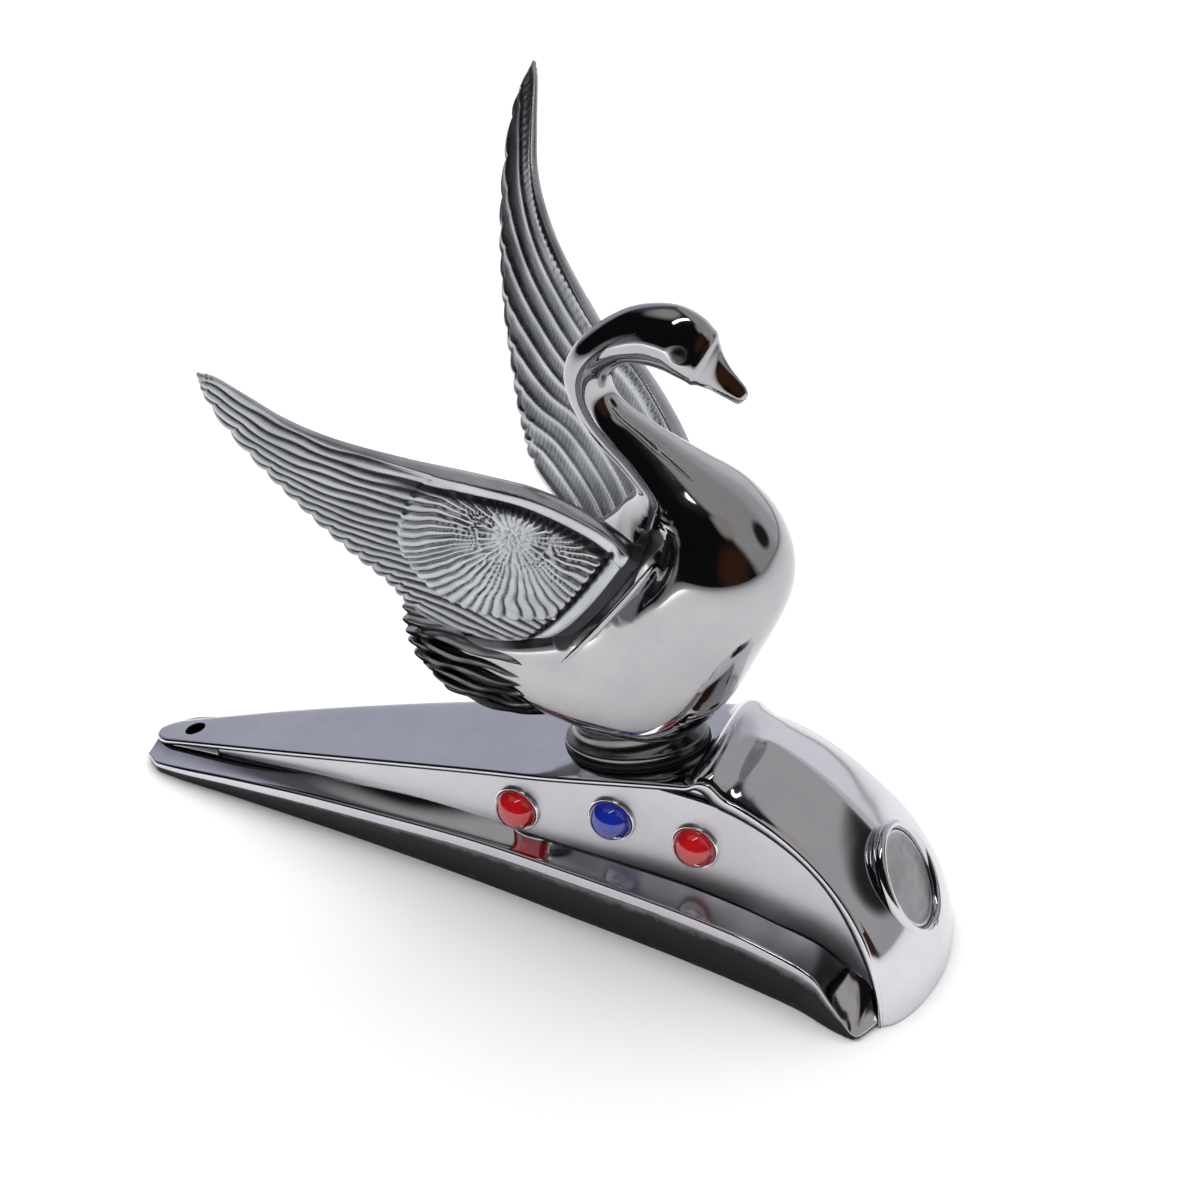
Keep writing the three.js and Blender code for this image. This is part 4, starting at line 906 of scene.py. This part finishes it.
FINISHES = {
    "base_chrome": finish("base_chrome", low=(0.60, 0.60, 0.645), high=(0.66, 0.66, 0.70),
                          rough=(0.05, 0.11), bump=0.05, groove=(0.02, 0.02, 0.022)),
    "panel_chrome": finish("panel_chrome", low=(0.60, 0.60, 0.64), high=(0.65, 0.65, 0.68),
                           rough=(0.30, 0.36), bump=0.03, groove=(0.22, 0.22, 0.23), groove_rough=0.0),
    "bezel_chrome": finish("bezel_chrome", low=(0.8, 0.78, 0.79), high=(0.86, 0.84, 0.85),
                           rough=(0.05, 0.12), bump=0.0),
    "swan_chrome": finish("swan_chrome", low=(0.42, 0.415, 0.435), high=(0.48, 0.475, 0.485),
                          rough=(0.03, 0.08), bump=0.05, groove=(0.07, 0.07, 0.075)),
    "wing_chrome": finish("wing_chrome", low=(0.42, 0.44, 0.47), high=(0.58, 0.60, 0.63),
                          rough=(0.16, 0.34), bump=0.2, fine=0.3, groove=(0.06, 0.06, 0.07),
                          groove_rough=0.35),
    "fastener_steel": finish("fastener_steel", low=(0.45, 0.46, 0.48), high=(0.62, 0.63, 0.65),
                             rough=(0.28, 0.45), fine=0.15),
    "rubber_seal": finish("rubber_seal", metallic=0.0, low=(0.012, 0.012, 0.013), high=(0.022, 0.022, 0.024),
                          rough=(0.6, 0.85), fine=0.4),
    "jewel_red": jewel_finish("jewel_red", (0.05, 0.0, 0.002), (0.50, 0.008, 0.012)),
    "jewel_blue": jewel_finish("jewel_blue", (0.002, 0.003, 0.04), (0.008, 0.025, 0.34)),
}

# ------------------------------------------------------------------ pieces

build("shell", base_shape(), "base", "base_chrome", ["base_shell"], crease=34)
build("seal", base_gasket_shape(), "base", "rubber_seal", ["base_gasket"])
build("medallion", medallion_shape(), "base", "panel_chrome", ["nose_medallion"])
build("pedestal_seal", pedestal_gasket_shape(), "base", "rubber_seal", ["pedestal_gasket"])
for side_name, side in SIDES:
    build(f"panel_{side_name}", panel_shape().sided(side), "base", "panel_chrome",
          [f"side_panel_{side_name}"])
    for place_name, jewel_x, jewel_z in JEWELS:
        spot = panel_place(side, jewel_x, jewel_z)
        label = f"{side_name}_{place_name}"
        build(f"gem_{label}", jewel_shape().placed(spot), "base", node_slot[f"jewel_{label}"],
              [f"jewel_{label}"])
        build(f"setting_{label}", bezel_shape().placed(spot), "base", "bezel_chrome", [f"bezel_{label}"])
build("swan", swan_shape(), "swan", "swan_chrome", ["swan_body"], crease=50)
build("foot", pedestal_shape(), "swan", "swan_chrome", ["swan_pedestal"])
for side_name, side in SIDES:
    build(f"feathers_{side_name}", wing_shape().sided(side), "swan", "wing_chrome",
          [f"wing_{side_name}"], crease=80)

for name, thing in frame["nodes"].items():
    thing.data.materials.clear()
    thing.data.materials.append(FINISHES[node_slot[name]])

# ------------------------------------------------------------------ studio


def bearing(azimuth, elevation):
    """Unit direction; azimuth 0 looks toward -Y and 90 toward +X."""
    turn, rise = math.radians(azimuth), math.radians(elevation)
    return Vector((math.sin(turn) * math.cos(rise), -math.cos(turn) * math.cos(rise), math.sin(rise)))


def lamp(name, place, aim, size, power, glossy=True, along=(1, 0, 0)):
    """Rectangular lamp; its first size runs along the given direction."""
    data = bpy.data.lights.new(name, "AREA")
    data.shape, data.energy = "RECTANGLE", power
    data.size, data.size_y = size
    thing = bpy.data.objects.new(name, data)
    bpy.context.scene.collection.objects.link(thing)
    back = (Vector(place) - Vector(aim)).normalized()
    across = back.cross(Vector(along)).normalized()
    turn = Matrix((across.cross(back), across, back)).transposed()
    thing.matrix_world = Matrix.Translation(place) @ turn.to_4x4()
    thing.visible_glossy = glossy


# Soft patches of the surroundings: azimuth, elevation, inner and outer half angle, colour
PATCHES = [
    (0, 90, 10, 40, (0.03, 0.03, 0.034)),
    (-125, 60, 14, 34, (0.10, 0.10, 0.12)),
    (132, 30, 49, 58, (0.44, 0.425, 0.42)),
    (162, 5, 24, 42, (0.60, 0.59, 0.62)),
    (-140, 14, 20, 40, (0.48, 0.49, 0.56)),
    (186, -8, 26, 44, (0.85, 0.85, 0.88)),
    (-60, 66, 10, 26, (0.42, 0.41, 0.39)),
    (55, 12, 8, 26, (0.05, 0.022, 0.012)),
    (66, 48, 5, 15, (0.40, 0.37, 0.34)),
    (115, 19, 7, 14, (0.02, 0.02, 0.02)),
    (-45, -3, 4, 13, (0.26, 0.26, 0.28)),
]
FLOOR_HALF = 4.0
DARK_ROOM = (0.007, 0.007, 0.008)
PALE_BACKDROP = (0.93, 0.93, 0.94)


def surroundings():
    """Dark room with soft patches for the metal to mirror, behind a pale backdrop."""
    world = bpy.data.worlds.new("room")
    bpy.context.scene.world = world
    world.use_nodes = True
    nodes, links = world.node_tree.nodes, world.node_tree.links
    where = nodes.new("ShaderNodeTexCoord")
    previous = None
    for azimuth, elevation, inner, outer, colour in PATCHES:
        toward = nodes.new("ShaderNodeVectorMath")
        toward.operation = "DOT_PRODUCT"
        toward.inputs[1].default_value = bearing(azimuth, elevation)
        links.new(where.outputs["Generated"], toward.inputs[0])
        reach = nodes.new("ShaderNodeMapRange")
        reach.interpolation_type = "SMOOTHSTEP"
        reach.inputs["From Min"].default_value = math.cos(math.radians(outer))
        reach.inputs["From Max"].default_value = math.cos(math.radians(inner))
        links.new(toward.outputs["Value"], reach.inputs["Value"])
        mix = nodes.new("ShaderNodeMix")
        mix.data_type = "RGBA"
        mix.inputs["A"].default_value = (*DARK_ROOM, 1)
        mix.inputs["B"].default_value = (*colour, 1)
        links.new(reach.outputs["Result"], mix.inputs["Factor"])
        if previous:
            links.new(previous, mix.inputs["A"])
        previous = mix.outputs["Result"]
    seen = nodes.new("ShaderNodeLightPath")
    plain = nodes.new("ShaderNodeMix")
    plain.data_type = "RGBA"
    plain.inputs["B"].default_value = (*PALE_BACKDROP, 1)
    links.new(seen.outputs["Is Camera Ray"], plain.inputs["Factor"])
    links.new(previous, plain.inputs["A"])
    links.new(plain.outputs["Result"], nodes["Background"].inputs["Color"])


def studio():
    surroundings()
    floor = bpy.data.meshes.new("floor")
    corners = [(-FLOOR_HALF, -FLOOR_HALF, 0), (FLOOR_HALF, -FLOOR_HALF, 0),
               (FLOOR_HALF, FLOOR_HALF, 0), (-FLOOR_HALF, FLOOR_HALF, 0)]
    floor.from_pydata(corners, [], [(0, 1, 2, 3)])
    thing = bpy.data.objects.new("floor", floor)
    bpy.context.scene.collection.objects.link(thing)
    paint = finish("floor_paper", metallic=0.0, low=(0.86, 0.86, 0.86), high=(0.88, 0.88, 0.88),
                   rough=(0.8, 0.95), cloud_scale=3.0, bump=0.0, fine=0.0)
    floor.materials.append(paint)
    lamp("overhead", (0.0, 0.22, 1.3), (0, 0.22, 0), (2.3, 2.1), 34, glossy=False)
    lamp("fill", (-0.35, -1.1, 0.12), (0.03, 0, 0.04), (0.6, 0.4), 5, glossy=False)
    swan = Vector((0, 0, 0.12))
    near_end, far_end = bearing(-10, 50), bearing(60, 70)
    strip_place = swan + (near_end + far_end).normalized() * 0.8
    lamp("strip", strip_place, swan, (0.5, 0.07), 0.5, along=far_end - near_end)


AZIMUTH, ELEVATION, DISTANCE = 23.08, 36.12, 0.700
AIM = Vector((0.0221, 0.0, 0.1015))


def camera():
    data = bpy.data.cameras.new("camera")
    data.sensor_width, data.lens = 36.0, 75.6
    data.clip_end = 50
    thing = bpy.data.objects.new("camera", data)
    bpy.context.scene.collection.objects.link(thing)
    out = bearing(AZIMUTH, ELEVATION)
    thing.location = AIM + out * DISTANCE
    thing.rotation_euler = (-out).to_track_quat("-Z", "Y").to_euler()
    bpy.context.scene.camera = thing


studio()
camera()
bpy.context.scene.view_settings.view_transform = "Standard"
